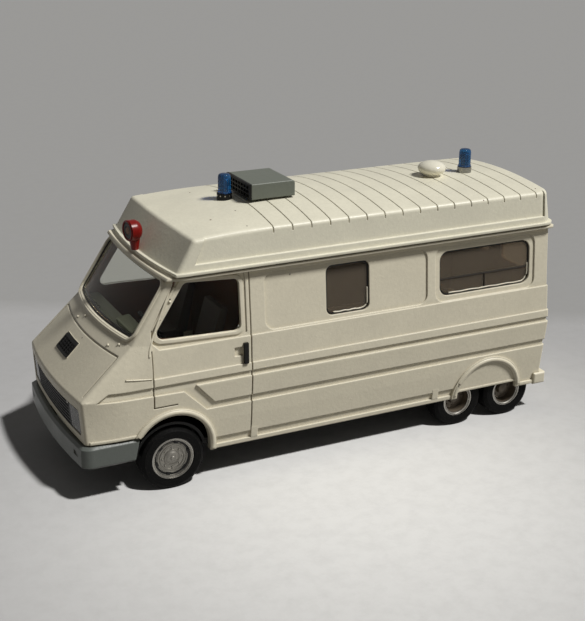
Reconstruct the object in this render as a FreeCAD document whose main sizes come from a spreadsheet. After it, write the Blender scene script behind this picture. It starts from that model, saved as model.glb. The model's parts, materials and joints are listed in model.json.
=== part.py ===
import FreeCAD, Part
import Sketcher
import math
import os
from collections import namedtuple
from FreeCAD import Vector

# Scale model of a high-roof ambulance van with one front axle and two rear axles.
# X runs rearward, Y to the vehicle's right, Z up. The origin is on the floor under the middle.
# Lengths are millimetres. A station is a distance back from the front of the bumper.
SIZES = {
    # overall form
    "overall_length": 132.5,
    "wall": 1.6,
    "glass_inset": 1.45,
    "glass_thick": 0.45,
    "fit_gap": 0.04,
    # heights of the body's outline levels
    "sill_height": 8.4,
    "nose_foot_height": 16.2,
    "brow_height": 26.1,
    "screen_base_height": 37.9,
    "eaves_height": 53.5,
    # stations of each level at the centre line, at the front corner and at the tail
    "nose_foot_centre": 1.5,
    "nose_foot_corner": 2.6,
    "brow_centre": 0.3,
    "brow_corner": 2.1,
    "screen_base_centre": 12.1,
    "screen_base_corner": 14.9,
    "eaves_centre": 23.7,
    "eaves_corner": 24.9,
    "sill_tail": 131.1,
    "nose_foot_tail": 131.3,
    "brow_tail": 131.9,
    "screen_base_tail": 131.4,
    "eaves_tail": 131.4,
    # half widths at the front corners and along the sides
    "sill_corner_half": 21.1,
    "nose_foot_corner_half": 21.7,
    "brow_corner_half": 21.4,
    "screen_base_corner_half": 20.95,
    "eaves_corner_half": 20.6,
    "sill_half": 22.0,
    "nose_foot_half": 22.75,
    "brow_half": 23.4,
    "screen_base_half": 23.05,
    "eaves_half": 21.7,
    "cheek_length": 10.0,
    "eaves_cheek_length": 5.0,
    "tail_corner_radius": 0.8,
    "nose_edge_radius": 1.0,
    # side mouldings
    "shoulder_height": 36.6,
    "waist_height": 29.8,
    "channel_top": 27.8,
    "channel_bottom": 19.6,
    "island_top": 26.5,
    "island_bottom": 21.3,
    "step_depth": 0.3,
    "channel_depth": 0.45,
    "channel_front": 5.4,
    "channel_front_height": 25.9,
    "channel_slope": 2.9,
    "channel_bend": 26.6,
    "channel_bend_height": 25.4,
    "channel_foot": 32.4,
    "island_front": 29.7,
    "island_foot": 34.35,
    "shoulder_front": 21.0,
    "waist_front": 12.6,
    "panel_depth": 0.35,
    "sill_band_top": 11.4,
    "sill_flange": 1.1,
    "band_front": 33.0,
    "seam_width": 0.3,
    "seam_depth": 0.3,
    "bonnet_seam_height": 35.2,
    "bonnet_seam_half": 19.7,
    "lug_proud": 0.05,
    "sill_lug_half": 0.9,
    "sill_lug_front_station": 45.05,
    "sill_lug_rear_station": 97.35,
    # cab door
    "door_rear": 44.1,
    "door_front": 19.1,
    "door_bottom": 11.4,
    "door_step_height": 22.4,
    "door_step_rear": 25.0,
    # load space windows and their recessed panels
    "mid_panel_front": 48.0,
    "mid_panel_rear": 93.4,
    "mid_panel_low": 37.0,
    "mid_panel_high": 51.3,
    "mid_window_front": 64.6,
    "mid_window_rear": 76.7,
    "mid_window_low": 38.0,
    "mid_window_high": 50.6,
    "aft_panel_front": 95.8,
    "aft_panel_rear": 126.5,
    "aft_panel_low": 36.8,
    "aft_panel_high": 51.2,
    "aft_window_front": 97.2,
    "aft_window_rear": 125.1,
    "aft_window_low": 38.1,
    "aft_window_high": 49.8,
    "panel_corner_radius": 2.6,
    "window_radius": 1.8,
    "door_window_radius": 1.6,
    "door_ring_radius": 2.2,
    "screen_radius": 1.6,
    "frame_groove_depth": 0.25,
    "rail_height": 42.2,
    "rail_thick": 0.4,
    # windscreen
    "screen_half": 19.6,
    "screen_inset": 0.3,
    "screen_taper": 0.3,
    "screen_low": 39.2,
    "screen_high": 51.9,
    "bead_width": 0.9,
    "bead_height": 0.35,
    # rear doors
    "rear_window_inner": 2.6,
    "rear_window_outer": 17.2,
    "rear_window_low": 38.8,
    "rear_window_high": 50.4,
    "rear_seam_half": 19.5,
    "rear_seam_low": 12.4,
    # roof cap
    "gutter_thick": 0.7,
    "gutter_half": 22.9,
    "gutter_centre": 23.4,
    "gutter_corner": 25.5,
    "gutter_tail": 132.05,
    "gutter_bead_low": 52.5,
    "gutter_bead_high": 53.1,
    "gutter_bead_proud": 0.75,
    "cap_foot_half": 22.3,
    "cap_top_half": 21.7,
    "cap_top_height": 62.1,
    "cap_foot_centre": 24.3,
    "cap_foot_corner": 26.1,
    "cap_foot_tail": 131.5,
    "cap_top_centre": 29.7,
    "cap_top_corner": 30.7,
    "cap_top_tail": 130.5,
    "cap_cheek": 3.0,
    "cap_wall": 2.0,
    "cap_tail_radius": 3.4,
    "cap_edge_radius": 1.1,
    "cap_recess_depth": 0.5,
    "cap_recess_low": 55.8,
    "cap_recess_front": 30.3,
    "cap_recess_rear": 128.6,
    "cap_recess_lean": 0.49,
    "crown_height": 64.3,
    "groove_count": 16,
    "groove_first": 50.54,
    "groove_pitch": 5.03,
    "groove_width": 0.26,
    "groove_depth": 0.22,
    "groove_run_down": 1.3,
    # wheels and axles
    "front_axle_station": 23.8,
    "wheelbase_first": 81.7,
    "wheelbase_second": 15.7,
    "front_tyre_radius": 7.94,
    "rear_tyre_radius": 7.1,
    "tyre_width": 4.8,
    "front_rim_radius": 5.43,
    "rear_rim_radius": 4.5,
    "front_wheel_face": 22.2,
    "rear_wheel_face": 21.1,
    "axle_radius": 0.8,
    "axle_recess": 1.7,
    "axle_clearance": 0.05,
    # arches
    "front_arch_station": 23.9,
    "front_arch_radius": 9.45,
    "front_arch_height": 10.3,
    "arch_lip_width": 1.5,
    "arch_lip_proud": 0.4,
    "rear_arch_station": 113.6,
    "rear_arch_height": 7.9,
    "rear_arch_radius": 9.4,
    "rear_arch_ridge": 1.7,
    "skirt_height": 10.1,
    "skirt_flange": 0.6,
    "wheel_box_gap": 0.6,
    "wheel_box_wall": 0.7,
    "wheel_side_gap": 0.35,
    # baseplate
    "base_low": 9.5,
    "base_thick": 1.5,
    "bearer_half_length": 2.2,
    "bearer_drop": 2.0,
    "bearer_width": 2.2,
    "bearer_reach": 14.2,
    "boss_radius": 2.6,
    "boss_bore_radius": 1.1,
    "boss_height": 5.0,
    "bore_depth": 4.4,
    "boss_front_station": 46.0,
    "boss_rear_station": 84.0,
    "pad_front_station": 38.0,
    "pad_rear_station": 92.0,
    "pad_half": 11.0,
    "pad_proud": 0.4,
    "base_front": 5.0,
    "lug_offset": 12.0,
    "lug_half": 1.5,
    "lug_length": 3.5,
    # bumpers
    "bumper_low": 9.6,
    "bumper_high": 15.2,
    "bumper_half": 22.9,
    "bumper_thick": 1.6,
    "bumper_end": 15.6,
    "bumper_gap": 0.4,
    "fender_flange": 0.7,
    "fender_flange_front": 3.6,
    "bumper_bevel": 0.6,
    "bumper_corner": 1.5,
    "bumper_corner_in": 1.3,
    "bumper_cheek": 2.6,
    "bumper_slant": 1.7,
    "bumper_slot_depth": 1.3,
    "bumper_slot_offset": 18.6,
    "bumper_slot_half": 1.3,
    "bumper_slot_low": 12.2,
    "bumper_slot_high": 13.3,
    "rear_bumper_low": 8.2,
    "rear_bumper_high": 11.4,
    "rear_bumper_half": 23.0,
    "rear_bumper_wrap": 3.8,
    "rear_bumper_rounding": 0.5,
    # front lamps and grille
    "grille_low": 17.3,
    "grille_high": 23.9,
    "grille_half": 19.7,
    "grille_corner_radius": 0.8,
    "grille_frame": 0.6,
    "grille_rib": 0.3,
    "grille_set_back": 0.1,
    "grille_depth": 0.8,
    "nose_depth": 8.0,
    "grille_bars": 7,
    "headlamp_inner": 13.6,
    "lamp_margin": 0.35,
    # small parts
    "handle_station": 42.55,
    "handle_width": 1.1,
    "handle_low": 29.9,
    "handle_high": 35.05,
    "handle_proud": 0.45,
    "handle_cup_front": 39.7,
    "handle_cup_rear": 41.9,
    "handle_cup_low": 31.9,
    "handle_cup_high": 34.05,
    "handle_cup_depth": 0.5,
    "vent_middle": 1.35,
    "vent_half": 4.45,
    "vent_frame": 0.4,
    "vent_proud": 0.35,
    "vent_columns": 7,
    "vent_rows": 4,
    "vent_bar": 0.22,
    "vent_low": 30.3,
    "vent_high": 33.35,
    "tail_lamp_low": 19.6,
    "tail_lamp_high": 27.6,
    "tail_lamp_inner": 17.6,
    "tail_lamp_outer": 20.6,
    "tail_lamp_proud": 0.5,
    # roof fittings
    "box_station": 50.8,
    "box_length": 12.4,
    "box_half": 7.0,
    "box_low": 65.0,
    "box_high": 68.9,
    "box_foot_radius": 0.7,
    "box_edge_radius": 0.9,
    "mesh_depth": 0.6,
    "mesh_columns": 8,
    "mesh_rows": 3,
    "mesh_frame": 0.4,
    "mesh_bar": 0.32,
    "mesh_hole_depth": 0.35,
    "front_beacon_station": 47.2,
    "rear_beacon_station": 117.6,
    "beacon_radius": 1.75,
    "beacon_base_height": 1.5,
    "beacon_height": 6.4,
    "dome_station": 107.2,
    "dome_radius": 3.75,
    "dome_half_height": 1.95,
    "dome_gap": 0.15,
    "lamp_station": 22.0,
    "lamp_radius": 2.6,
    "lamp_length": 3.2,
    "lamp_height": 59.0,
    "lamp_turn": 8.0,
    "lamp_rim": 0.55,
    # cab inside
    "floor_height": 18.8,
    "floor_thick": 1.0,
    "floor_front": 14.0,
    "pillar_half": 4.5,
    "hood_half": 5.5,
    "dash_height": 37.6,
    "driver_side": -10.4,
    "wheel_ring_radius": 4.0,
    "wheel_ring_thick": 0.8,
    "wheel_hub_radius": 0.9,
    "column_radius": 0.6,
    "column_length": 4.6,
    "column_station": 23.6,
    "column_tilt": 52.0,
    "seat_height": 29.6,
    "seat_back_height": 41.6,
    "seat_front": 29.0,
    "seat_rear": 37.5,
    "seat_half": 5.4,
    "seat_back_half": 5.0,
    "seat_back_lean": 3.8,
    "seat_back_thick": 2.0,
    "partition_station": 46.4,
    "partition_thick": 1.0,
}

Level = namedtuple("Level", "height centre corner corner_half cheek half tail tail_radius")

doc = FreeCAD.newDocument("ambulance")
sheet = doc.addObject("Spreadsheet::Sheet", "sizes")


def fill_sheet():
    """Write every driving dimension as a plain number with its name as alias."""
    for row, (name, value) in enumerate(SIZES.items(), start=1):
        sheet.set("A%d" % row, name)
        sheet.set("B%d" % row, str(value))
        sheet.setAlias("B%d" % row, name)
    doc.recompute()


def size(name):
    return float(sheet.get(name))


def at(station):
    """X of a station."""
    return station - size("overall_length") / 2


def tail_x():
    """X of the body's rear face at the sill."""
    return at(size("sill_tail"))


fill_sheet()

REACH = 2 * size("rear_bumper_half")
SKY = 2 * size("crown_height")
AXLES = {
    "front": size("front_axle_station"),
    "middle": size("front_axle_station") + size("wheelbase_first"),
    "rear": size("front_axle_station") + size("wheelbase_first") + size("wheelbase_second"),
}
# The two rear axles share one kind of wheel
WHEEL_KIND = {"front": "front", "middle": "rear", "rear": "rear"}
WHEEL_FACE = {name: size(kind + "_wheel_face") for name, kind in WHEEL_KIND.items()}
AXLE_HEIGHT = {name: size(kind + "_tyre_radius") for name, kind in WHEEL_KIND.items()}
pieces = []


def keep(label, shape, place=None):
    """Add a sub-part whose shape is set directly."""
    feature = doc.addObject("Part::Feature", label)
    feature.Label = label
    feature.Shape = shape
    if place is not None:
        feature.Placement = place
    pieces.append(feature)
    return feature


def plan_level(name, cheek="cheek_length"):
    return Level(
        size(name + "_height"),
        size(name + "_centre"),
        size(name + "_corner"),
        size(name + "_corner_half"),
        size(cheek),
        size(name + "_half"),
        at(size(name + "_tail")),
        size("tail_corner_radius"),
    )


def between(low, high, height):
    """The level at a height on the straight line through two levels."""
    share = (height - low.height) / (high.height - low.height)
    return Level(*[a + share * (b - a) for a, b in zip(low, high)])


def plan_wire(level, inset):
    """Closed outline of a level: bowed nose, rounded cheeks, straight sides, rounded tail corners."""
    height = level.height
    corner_x = at(level.corner) + inset
    corner_y = level.corner_half - inset
    side_x = corner_x + level.cheek
    side_y = level.half - inset
    tail = level.tail - inset
    tail_radius = max(level.tail_radius - inset, 0.2)
    flare = side_y - corner_y
    cheek_radius = (level.cheek ** 2 + flare ** 2) / (2 * flare)
    half_turn = math.asin(level.cheek / cheek_radius) / 2
    cheek_x = side_x - cheek_radius * math.sin(half_turn)
    cheek_y = side_y - cheek_radius * (1 - math.cos(half_turn))
    bend = tail_radius * (1 - math.sqrt(0.5))

    def spot(x, y):
        return Vector(x, y, height)

    def cheek(sign):
        return Part.Arc(spot(corner_x, sign * corner_y), spot(cheek_x, sign * cheek_y),
                        spot(side_x, sign * side_y)).toShape()

    def tail_corner(sign):
        return Part.Arc(spot(tail - tail_radius, sign * side_y), spot(tail - bend, sign * (side_y - bend)),
                        spot(tail, sign * (side_y - tail_radius))).toShape()

    nose = Part.Arc(spot(corner_x, -corner_y), spot(at(level.centre) + inset, 0),
                    spot(corner_x, corner_y)).toShape()
    right = Part.makeLine(spot(side_x, side_y), spot(tail - tail_radius, side_y))
    left = Part.makeLine(spot(side_x, -side_y), spot(tail - tail_radius, -side_y))
    back = Part.makeLine(spot(tail, side_y - tail_radius), spot(tail, tail_radius - side_y))
    return Part.Wire([nose, cheek(1), right, tail_corner(1), back, tail_corner(-1), left, cheek(-1)])


def stack(levels, inset):
    return Part.makeLoft([plan_wire(level, inset) for level in levels], True, True)


def rounded_wire(corners, radius, spot):
    """Closed outline through corners with the same radius at each; spot places a pair in space."""
    edges = []
    starts = []
    count = len(corners)
    for index, (u, v) in enumerate(corners):
        before = corners[index - 1]
        after = corners[(index + 1) % count]
        here = Vector(u, v, 0)
        back = (Vector(before[0], before[1], 0) - here).normalize()
        ahead = (Vector(after[0], after[1], 0) - here).normalize()
        half_angle = back.getAngle(ahead) / 2
        reach = radius / math.tan(half_angle)
        middle = here + (back + ahead).normalize() * (radius / math.sin(half_angle) - radius)
        starts.append((here + back * reach, middle, here + ahead * reach))
    for index, (start, middle, end) in enumerate(starts):
        following = starts[(index + 1) % count][0]
        edges.append(Part.Arc(spot(start.x, start.y), spot(middle.x, middle.y), spot(end.x, end.y)).toShape())
        edges.append(Part.makeLine(spot(end.x, end.y), spot(following.x, following.y)))
    return Part.Wire(edges)


def side_prism(corners, radius=0):
    """Prism right across the body from station and height pairs."""
    def spot(station, height):
        return Vector(at(station), -REACH, height)
    if radius:
        wire = rounded_wire(corners, radius, spot)
    else:
        wire = Part.makePolygon([spot(*pair) for pair in corners + corners[:1]])
    return Part.Face(wire).extrude(Vector(0, 2 * REACH, 0))


def nose_prism(corners, radius=0):
    """Prism back through the nose from half-width and height pairs."""
    def spot(across, height):
        return Vector(at(-REACH), across, height)
    if radius:
        wire = rounded_wire(corners, radius, spot)
    else:
        wire = Part.makePolygon([spot(*pair) for pair in corners + corners[:1]])
    return Part.Face(wire).extrude(Vector(REACH + size("door_rear"), 0, 0))


def tail_prism(corners, radius=0):
    """Prism through the rear wall from half-width and height pairs."""
    def spot(across, height):
        return Vector(tail_x() - 4 * size("wall"), across, height)
    if radius:
        wire = rounded_wire(corners, radius, spot)
    else:
        wire = Part.makePolygon([spot(*pair) for pair in corners + corners[:1]])
    return Part.Face(wire).extrude(Vector(REACH, 0, 0))


def block(x_low, x_high, y_low, y_high, z_low, z_high):
    return Part.makeBox(x_high - x_low, y_high - y_low, z_high - z_low, Vector(x_low, y_low, z_low))


def front_only(prism, station):
    """The part of a prism ahead of a station."""
    return prism.common(block(at(-REACH), at(station), -REACH, REACH, 0, SKY))


def tube_across(station, height, radius, low, high):
    return Part.makeCylinder(radius, high - low, Vector(at(station), low, height), Vector(0, 1, 0))


def wheel_room(name):
    """Radius of the free space round a wheel."""
    return AXLE_HEIGHT[name] + size("wheel_box_gap")


def rectangle(low_u, high_u, low_v, high_v):
    return [(low_u, low_v), (high_u, low_v), (high_u, high_v), (low_u, high_v)]


def trimmed(shape):
    """Join faces that a boolean left split."""
    return shape.removeSplitter()


# Body levels, from the open bottom to the open top
FOOT = plan_level("nose_foot")
BROW = plan_level("brow")
SCREEN_BASE = plan_level("screen_base")
EAVES = plan_level("eaves", cheek="eaves_cheek_length")
SILL = between(FOOT, BROW, size("sill_height"))._replace(
    half=size("sill_half"), corner_half=size("sill_corner_half"), tail=tail_x())
BODY_LEVELS = [SILL, FOOT, BROW, SCREEN_BASE, EAVES]
BELOW = SILL._replace(height=SILL.height - size("wall"))
ABOVE = between(SCREEN_BASE, EAVES, EAVES.height + size("wall"))


def body_form(inset):
    """The body's outer form drawn in by inset, with level ends."""
    return stack(BODY_LEVELS, inset)


def body_core(inset):
    """The same form run past both ends, for cutting."""
    return stack([BELOW, SILL, FOOT, BROW, SCREEN_BASE, EAVES, ABOVE], inset)


def skin(prism, depth):
    """What lies in the prism outside the form drawn in by depth."""
    return prism.cut(body_core(depth))


def on_skin(prism, depth, proud):
    """A layer on the body within a prism, from depth below the surface to proud of it."""
    return prism.common(body_core(-proud)).cut(body_core(depth))


# Station and height pairs: the cab door's window, the raised ring round it and the pressed frame outside it
DOOR_WINDOW = [(27.9, 51.6), (41.55, 50.8), (41.7, 38.1), (19.5, 38.8)]
DOOR_RING = [(27.2, 52.6), (42.45, 51.7), (42.6, 37.2), (17.7, 37.95)]
DOOR_FRAME = [(26.0, size("eaves_height")), (42.6, size("eaves_height")), (43.1, 50.6), (43.1, 37.6), (41.2, 36.6),
              (21.0, 36.6), (19.4, 38.2), (19.3, 41.2)]
DOOR_TOP = 52.6
SCREEN_OPENING = [
    (-size("screen_half"), size("screen_low")),
    (size("screen_half"), size("screen_low")),
    (size("screen_half") - size("screen_taper"), size("screen_high")),
    (size("screen_taper") - size("screen_half"), size("screen_high")),
]
MID_WINDOW = rectangle(size("mid_window_front"), size("mid_window_rear"),
                       size("mid_window_low"), size("mid_window_high"))
AFT_WINDOW = rectangle(size("aft_window_front"), size("aft_window_rear"),
                       size("aft_window_low"), size("aft_window_high"))
REAR_WINDOWS = [rectangle(size("rear_window_inner"), size("rear_window_outer"),
                          size("rear_window_low"), size("rear_window_high")),
                rectangle(-size("rear_window_outer"), -size("rear_window_inner"),
                          size("rear_window_low"), size("rear_window_high"))]


def grown(corners, by):
    """Rectangle or near-rectangle pushed out from its middle by a margin on each side."""
    mid_u = sum(u for u, v in corners) / len(corners)
    mid_v = sum(v for u, v in corners) / len(corners)
    return [(u + by * math.copysign(1, u - mid_u), v + by * math.copysign(1, v - mid_v)) for u, v in corners]


def arch_disc(station, height, radius):
    """Disc right across the body with a straight drop below its middle."""
    disc = Part.makeCylinder(radius, 2 * REACH, Vector(at(station), -REACH, height), Vector(0, 1, 0))
    drop = block(at(station) - radius, at(station) + radius, -REACH, REACH, -REACH, height)
    return disc.fuse(drop)


def rounded_nose(form):
    """Round the two front corners from sill to eaves and the bonnet's front edge."""
    edges = []
    for edge in form.Edges:
        box = edge.BoundBox
        upright = box.ZLength > 1 and box.YLength < 1 and box.XMax < at(size("eaves_corner")) + 0.1
        low_side = max(abs(box.YMin), abs(box.YMax)) < size("nose_foot_corner_half") + 0.1
        brow = box.ZLength < 0.01 and abs(box.ZMin - size("brow_height")) < 0.01 and box.YMin * box.YMax < -1
        if (upright and low_side) or (brow and box.XMax < at(size("brow_corner")) + 0.1):
            edges.append(edge)
    return form.makeFillet(size("nose_edge_radius"), edges)


def arch_ring(name, ring_width):
    """Ring round the front or the rear arch, above the sill."""
    arch = (size(name + "_arch_station"), size(name + "_arch_height"))
    radius = size(name + "_arch_radius")
    ring = arch_disc(*arch, radius + ring_width).cut(arch_disc(*arch, radius))
    return ring.common(block(at(0), tail_x(), -REACH, REACH, size("sill_height"), SKY))


def side_mouldings():
    """Cuts that leave the stepped side: waist, shoulder, and the channel with its raised island."""
    far = size("overall_length")
    front = size("channel_front")
    waist = [(size("door_front"), size("waist_height")), (far, size("waist_height")),
             (far, size("eaves_height")), DOOR_FRAME[0], DOOR_FRAME[-1]]
    shoulder = [(size("shoulder_front"), size("shoulder_height")), (far, size("shoulder_height")),
                (far, size("eaves_height")), DOOR_FRAME[0], DOOR_FRAME[-1], DOOR_FRAME[-2]]
    channel = [(front, size("channel_front_height")), (front + size("channel_slope"), size("channel_top")),
               (far, size("channel_top")), (far, size("channel_bottom")),
               (size("channel_foot"), size("channel_bottom")),
               (size("channel_bend"), size("channel_bend_height"))]
    island = [(size("island_front"), size("island_top")), (far, size("island_top")), (far, size("island_bottom")),
              (size("island_foot"), size("island_bottom"))]
    return [skin(side_prism(waist), size("step_depth")),
            skin(side_prism(shoulder), 2 * size("step_depth")),
            skin(side_prism(channel).cut(side_prism(island)), size("channel_depth"))]


def side_recesses():
    """Window panels, the groove round the door window, the handle's cup and the hollow sill band."""
    upper = 2 * size("step_depth")
    cuts = []
    for name in ("mid", "aft"):
        panel = rectangle(size(name + "_panel_front"), size(name + "_panel_rear"),
                          size(name + "_panel_low"), size(name + "_panel_high"))
        cuts.append(skin(side_prism(panel, size("panel_corner_radius")), upper + size("panel_depth")))
    groove = side_prism(DOOR_FRAME).cut(side_prism(DOOR_RING, size("door_ring_radius")))
    cuts.append(skin(groove, upper + size("frame_groove_depth")))
    cup = rectangle(size("handle_cup_front"), size("handle_cup_rear"),
                    size("handle_cup_low"), size("handle_cup_high"))
    cuts.append(skin(side_prism(cup), size("step_depth") + size("handle_cup_depth")))
    band = rectangle(size("band_front"), size("rear_arch_station") - size("rear_arch_radius"),
                     size("sill_height") + size("sill_flange"), size("sill_band_top"))
    cuts.append(skin(side_prism(band), size("channel_depth")))
    return cuts


def seams():
    """Narrow grooves of the cab doors, the fender, the bonnet and the rear doors."""
    half = size("seam_width") / 2
    cuts = []
    step = size("door_step_height")
    front = size("door_front")
    for line in (rectangle(size("door_rear") - half, size("door_rear") + half, size("door_bottom"), DOOR_TOP),
                 rectangle(front - half, front + half, step - half, DOOR_FRAME[4][1]),
                 rectangle(front - half, size("door_step_rear"), step - half, step + half)):
        cuts.append(skin(side_prism(line), 2 * size("step_depth") + size("seam_depth")))
    waist = size("waist_height")
    fender_line = [(size("waist_front"), waist + 0.7), (front, waist), (front, waist + size("seam_width")),
                   (size("waist_front"), waist + 0.9)]
    cuts.append(skin(side_prism(fender_line), size("seam_depth")))
    across = size("bonnet_seam_half")
    high = size("bonnet_seam_height")
    low = size("brow_height") + size("nose_edge_radius")
    bonnet = [rectangle(-across, across, high, high + size("seam_width"))]
    for side in (-1, 1):
        bonnet.append([(side * (across - half), high), (side * (across + half), high),
                       (side * (across + 3 * half), low), (side * (across + half), low)])
    for line in bonnet:
        cuts.append(skin(front_only(nose_prism(line), front), size("seam_depth")))
    edge = size("rear_seam_half")
    low = size("rear_seam_low")
    high = size("gutter_bead_low")
    behind = block(tail_x() - size("wall"), tail_x() + REACH, -REACH, REACH, 0, SKY)
    for line in (rectangle(-half, half, low, high), rectangle(-edge - half, half - edge, low, high),
                 rectangle(edge - half, edge + half, low, high), rectangle(-edge, edge, low - half, low + half)):
        cuts.append(skin(tail_prism(line).common(behind), size("seam_depth")))
    return cuts


def raised_layers():
    """Beads and lugs that stand proud of the mouldings: arch rings, flanges, gutter bead and sill lugs."""
    middle = size("rear_arch_station")
    radius = size("rear_arch_radius")
    flange = rectangle(middle - radius, middle + radius, size("skirt_height"),
                       size("skirt_height") + size("skirt_flange"))
    gutter = block(at(0), at(size("gutter_tail")), -REACH, REACH, size("gutter_bead_low"), size("gutter_bead_high"))
    foot = size("bumper_high") + size("bumper_gap")
    fender = rectangle(size("fender_flange_front"), size("bumper_end"), foot, foot + size("fender_flange"))
    layers = [(side_prism(fender), size("arch_lip_proud") / 2),
              (arch_ring("front", size("arch_lip_width")), size("arch_lip_proud")),
              (arch_ring("rear", size("rear_arch_ridge")), size("arch_lip_proud")),
              (side_prism(flange), size("arch_lip_proud") / 2),
              (gutter, size("gutter_bead_proud"))]
    top = size("sill_band_top") + size("sill_lug_half")
    low = size("sill_height") + size("sill_flange")
    for name in ("front", "rear"):
        middle = size("sill_lug_%s_station" % name)
        lug = rectangle(middle - size("sill_lug_half"), middle + size("sill_lug_half"), low, top)
        layers.append((side_prism(lug), size("lug_proud")))
    return [on_skin(prism, size("wall") / 2, proud) for prism, proud in layers]


def make_shell():
    form = rounded_nose(body_form(0))
    bead = nose_prism(grown(SCREEN_OPENING, size("bead_width")), size("screen_radius") + size("bead_width"))
    form = form.fuse(on_skin(bead, size("wall") / 2, size("bead_height")))
    grille = rectangle(-size("grille_half"), size("grille_half"), size("grille_low"), size("grille_high"))
    recess = front_only(nose_prism(grille, size("grille_corner_radius")), size("nose_depth"))
    for cut in side_mouldings() + side_recesses() + seams() + [skin(recess, size("grille_depth"))]:
        form = form.cut(cut)
    for layer in raised_layers():
        form = form.fuse(layer)
    # hollow it, then cut windows, arches, the bumper's place and the skirt
    form = form.cut(body_core(size("wall")))
    form = form.cut(front_only(nose_prism(SCREEN_OPENING, size("screen_radius")), DOOR_WINDOW[2][0]))
    form = form.cut(side_prism(DOOR_WINDOW, size("door_window_radius")))
    form = form.cut(side_prism(MID_WINDOW, size("window_radius")))
    form = form.cut(side_prism(AFT_WINDOW, size("panel_corner_radius")))
    for window in REAR_WINDOWS:
        form = form.cut(tail_prism(window, size("window_radius")))
    form = form.cut(arch_disc(size("front_arch_station"), size("front_arch_height"), size("front_arch_radius")))
    form = form.cut(block(at(0) - 1, at(size("front_arch_station")), -REACH, REACH, 0,
                          size("bumper_high") + size("bumper_gap")))
    skirt = rectangle(size("rear_arch_station") - size("rear_arch_radius"),
                      size("rear_arch_station") + size("rear_arch_radius"), 0, size("skirt_height"))
    form = form.cut(side_prism(skirt))
    # pockets inside the side walls for the rear wheels
    pocket = size("rear_wheel_face") + size("wheel_side_gap")
    for name in ("middle", "rear"):
        form = form.cut(tube_across(AXLES[name], AXLE_HEIGHT[name], wheel_room(name), -pocket, pocket))
    return trimmed(form)


keep("body_shell", make_shell())


# Roof cap: gutter, leaning sides, crowned top
GUTTER = Level(size("eaves_height"), size("gutter_centre"), size("gutter_corner"), size("gutter_half") - 0.2,
               size("cap_cheek"), size("gutter_half"), at(size("gutter_tail")), size("cap_tail_radius"))
CAP_FOOT = Level(size("eaves_height") + size("gutter_thick"), size("cap_foot_centre"), size("cap_foot_corner"),
                 size("cap_foot_half") - 0.4, size("cap_cheek"), size("cap_foot_half"),
                 at(size("cap_foot_tail")), size("cap_tail_radius"))
CAP_TOP = Level(size("cap_top_height"), size("cap_top_centre"), size("cap_top_corner"),
                size("cap_top_half") - 0.25, size("cap_cheek"), size("cap_top_half"),
                at(size("cap_top_tail")), size("cap_tail_radius"))
# Station, height of the roof's edge over the cap's top level, and rise of its middle over the edge
CROWN_SECTIONS = [(20, -1.2, 0.2), (30, -0.6, 0.35), (38, -0.15, 1.15), (52, 0, 2.4), (80, 0, 2.2), (118, 0, 1.8),
                  (140, -0.1, 1.3)]


def crown_form(drop):
    """Solid under the roof's top surface, lowered by drop: nearly flat over the screen, crowned behind."""
    half = size("cap_top_half")
    wide = half + 4
    floor = size("eaves_height") - 5
    wires = []
    for station, edge, rise in CROWN_SECTIONS:
        radius = (half ** 2 + rise ** 2) / (2 * rise)
        middle = size("cap_top_height") + edge + rise - drop
        low = middle - radius + math.sqrt(radius ** 2 - wide ** 2)
        x = at(station)
        top = Part.Arc(Vector(x, -wide, low), Vector(x, 0, middle), Vector(x, wide, low))
        right = Part.makeLine(Vector(x, wide, low), Vector(x, wide, floor))
        under = Part.makeLine(Vector(x, wide, floor), Vector(x, -wide, floor))
        left = Part.makeLine(Vector(x, -wide, floor), Vector(x, -wide, low))
        wires.append(Part.Wire([top.toShape(), right, under, left]))
    return Part.makeLoft(wires, True, False)


def cap_form(inset, foot=CAP_FOOT):
    """The cap's leaning sides drawn in by inset, from a foot level to above the crown."""
    return stack([foot, between(CAP_FOOT, CAP_TOP, SKY / 2 + 3)], inset)


def rounded_cap(inset, drop=0):
    """The cap drawn in by inset and lowered by drop, with its rim and its two slanted front corners rounded."""
    form = cap_form(inset).common(crown_form(drop))
    rim = [edge for edge in form.Edges if edge.BoundBox.ZMin > CAP_FOOT.height + 1]
    front = [edge for edge in form.Edges if edge.BoundBox.ZLength > 3
             and edge.BoundBox.XMax < at(size("cap_top_corner") + size("cap_cheek"))]
    return form.makeFillet(size("cap_edge_radius"), rim + front)


def make_cap():
    # the recessed side keeps the rim's rounding, so it is a smaller rounded cap joined to the full one
    low = size("cap_recess_low")
    front = size("cap_recess_front")
    rear = size("cap_recess_rear")
    slant_top = front + size("cap_recess_lean") * (SKY - low)
    recess = side_prism([(front, low), (rear, low), (rear, SKY), (slant_top, SKY)])
    form = rounded_cap(0).cut(recess).fuse(rounded_cap(size("cap_recess_depth")))
    grooves = []
    for index in range(int(size("groove_count"))):
        middle = at(size("groove_first") + index * size("groove_pitch"))
        grooves.append(block(middle - size("groove_width") / 2, middle + size("groove_width") / 2,
                             -REACH, REACH, size("cap_top_height") - size("groove_run_down"), SKY))
    floor_of_grooves = rounded_cap(size("cap_recess_depth") + size("groove_depth"), size("groove_depth"))
    form = form.cut(Part.makeCompound(grooves).cut(floor_of_grooves))
    form = form.fuse(stack([GUTTER, GUTTER._replace(height=CAP_FOOT.height)], 0))
    below = between(CAP_FOOT, CAP_TOP, size("eaves_height") - 2)
    form = form.cut(cap_form(size("cap_wall"), below).common(crown_form(size("cap_wall"))))
    return trimmed(form)


keep("roof_cap", make_cap())


def pane(prism):
    """Glass that fills a window prism, a fit gap smaller, set in from the skin."""
    return on_skin(prism, size("glass_inset") + size("glass_thick"), -size("glass_inset"))


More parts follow.
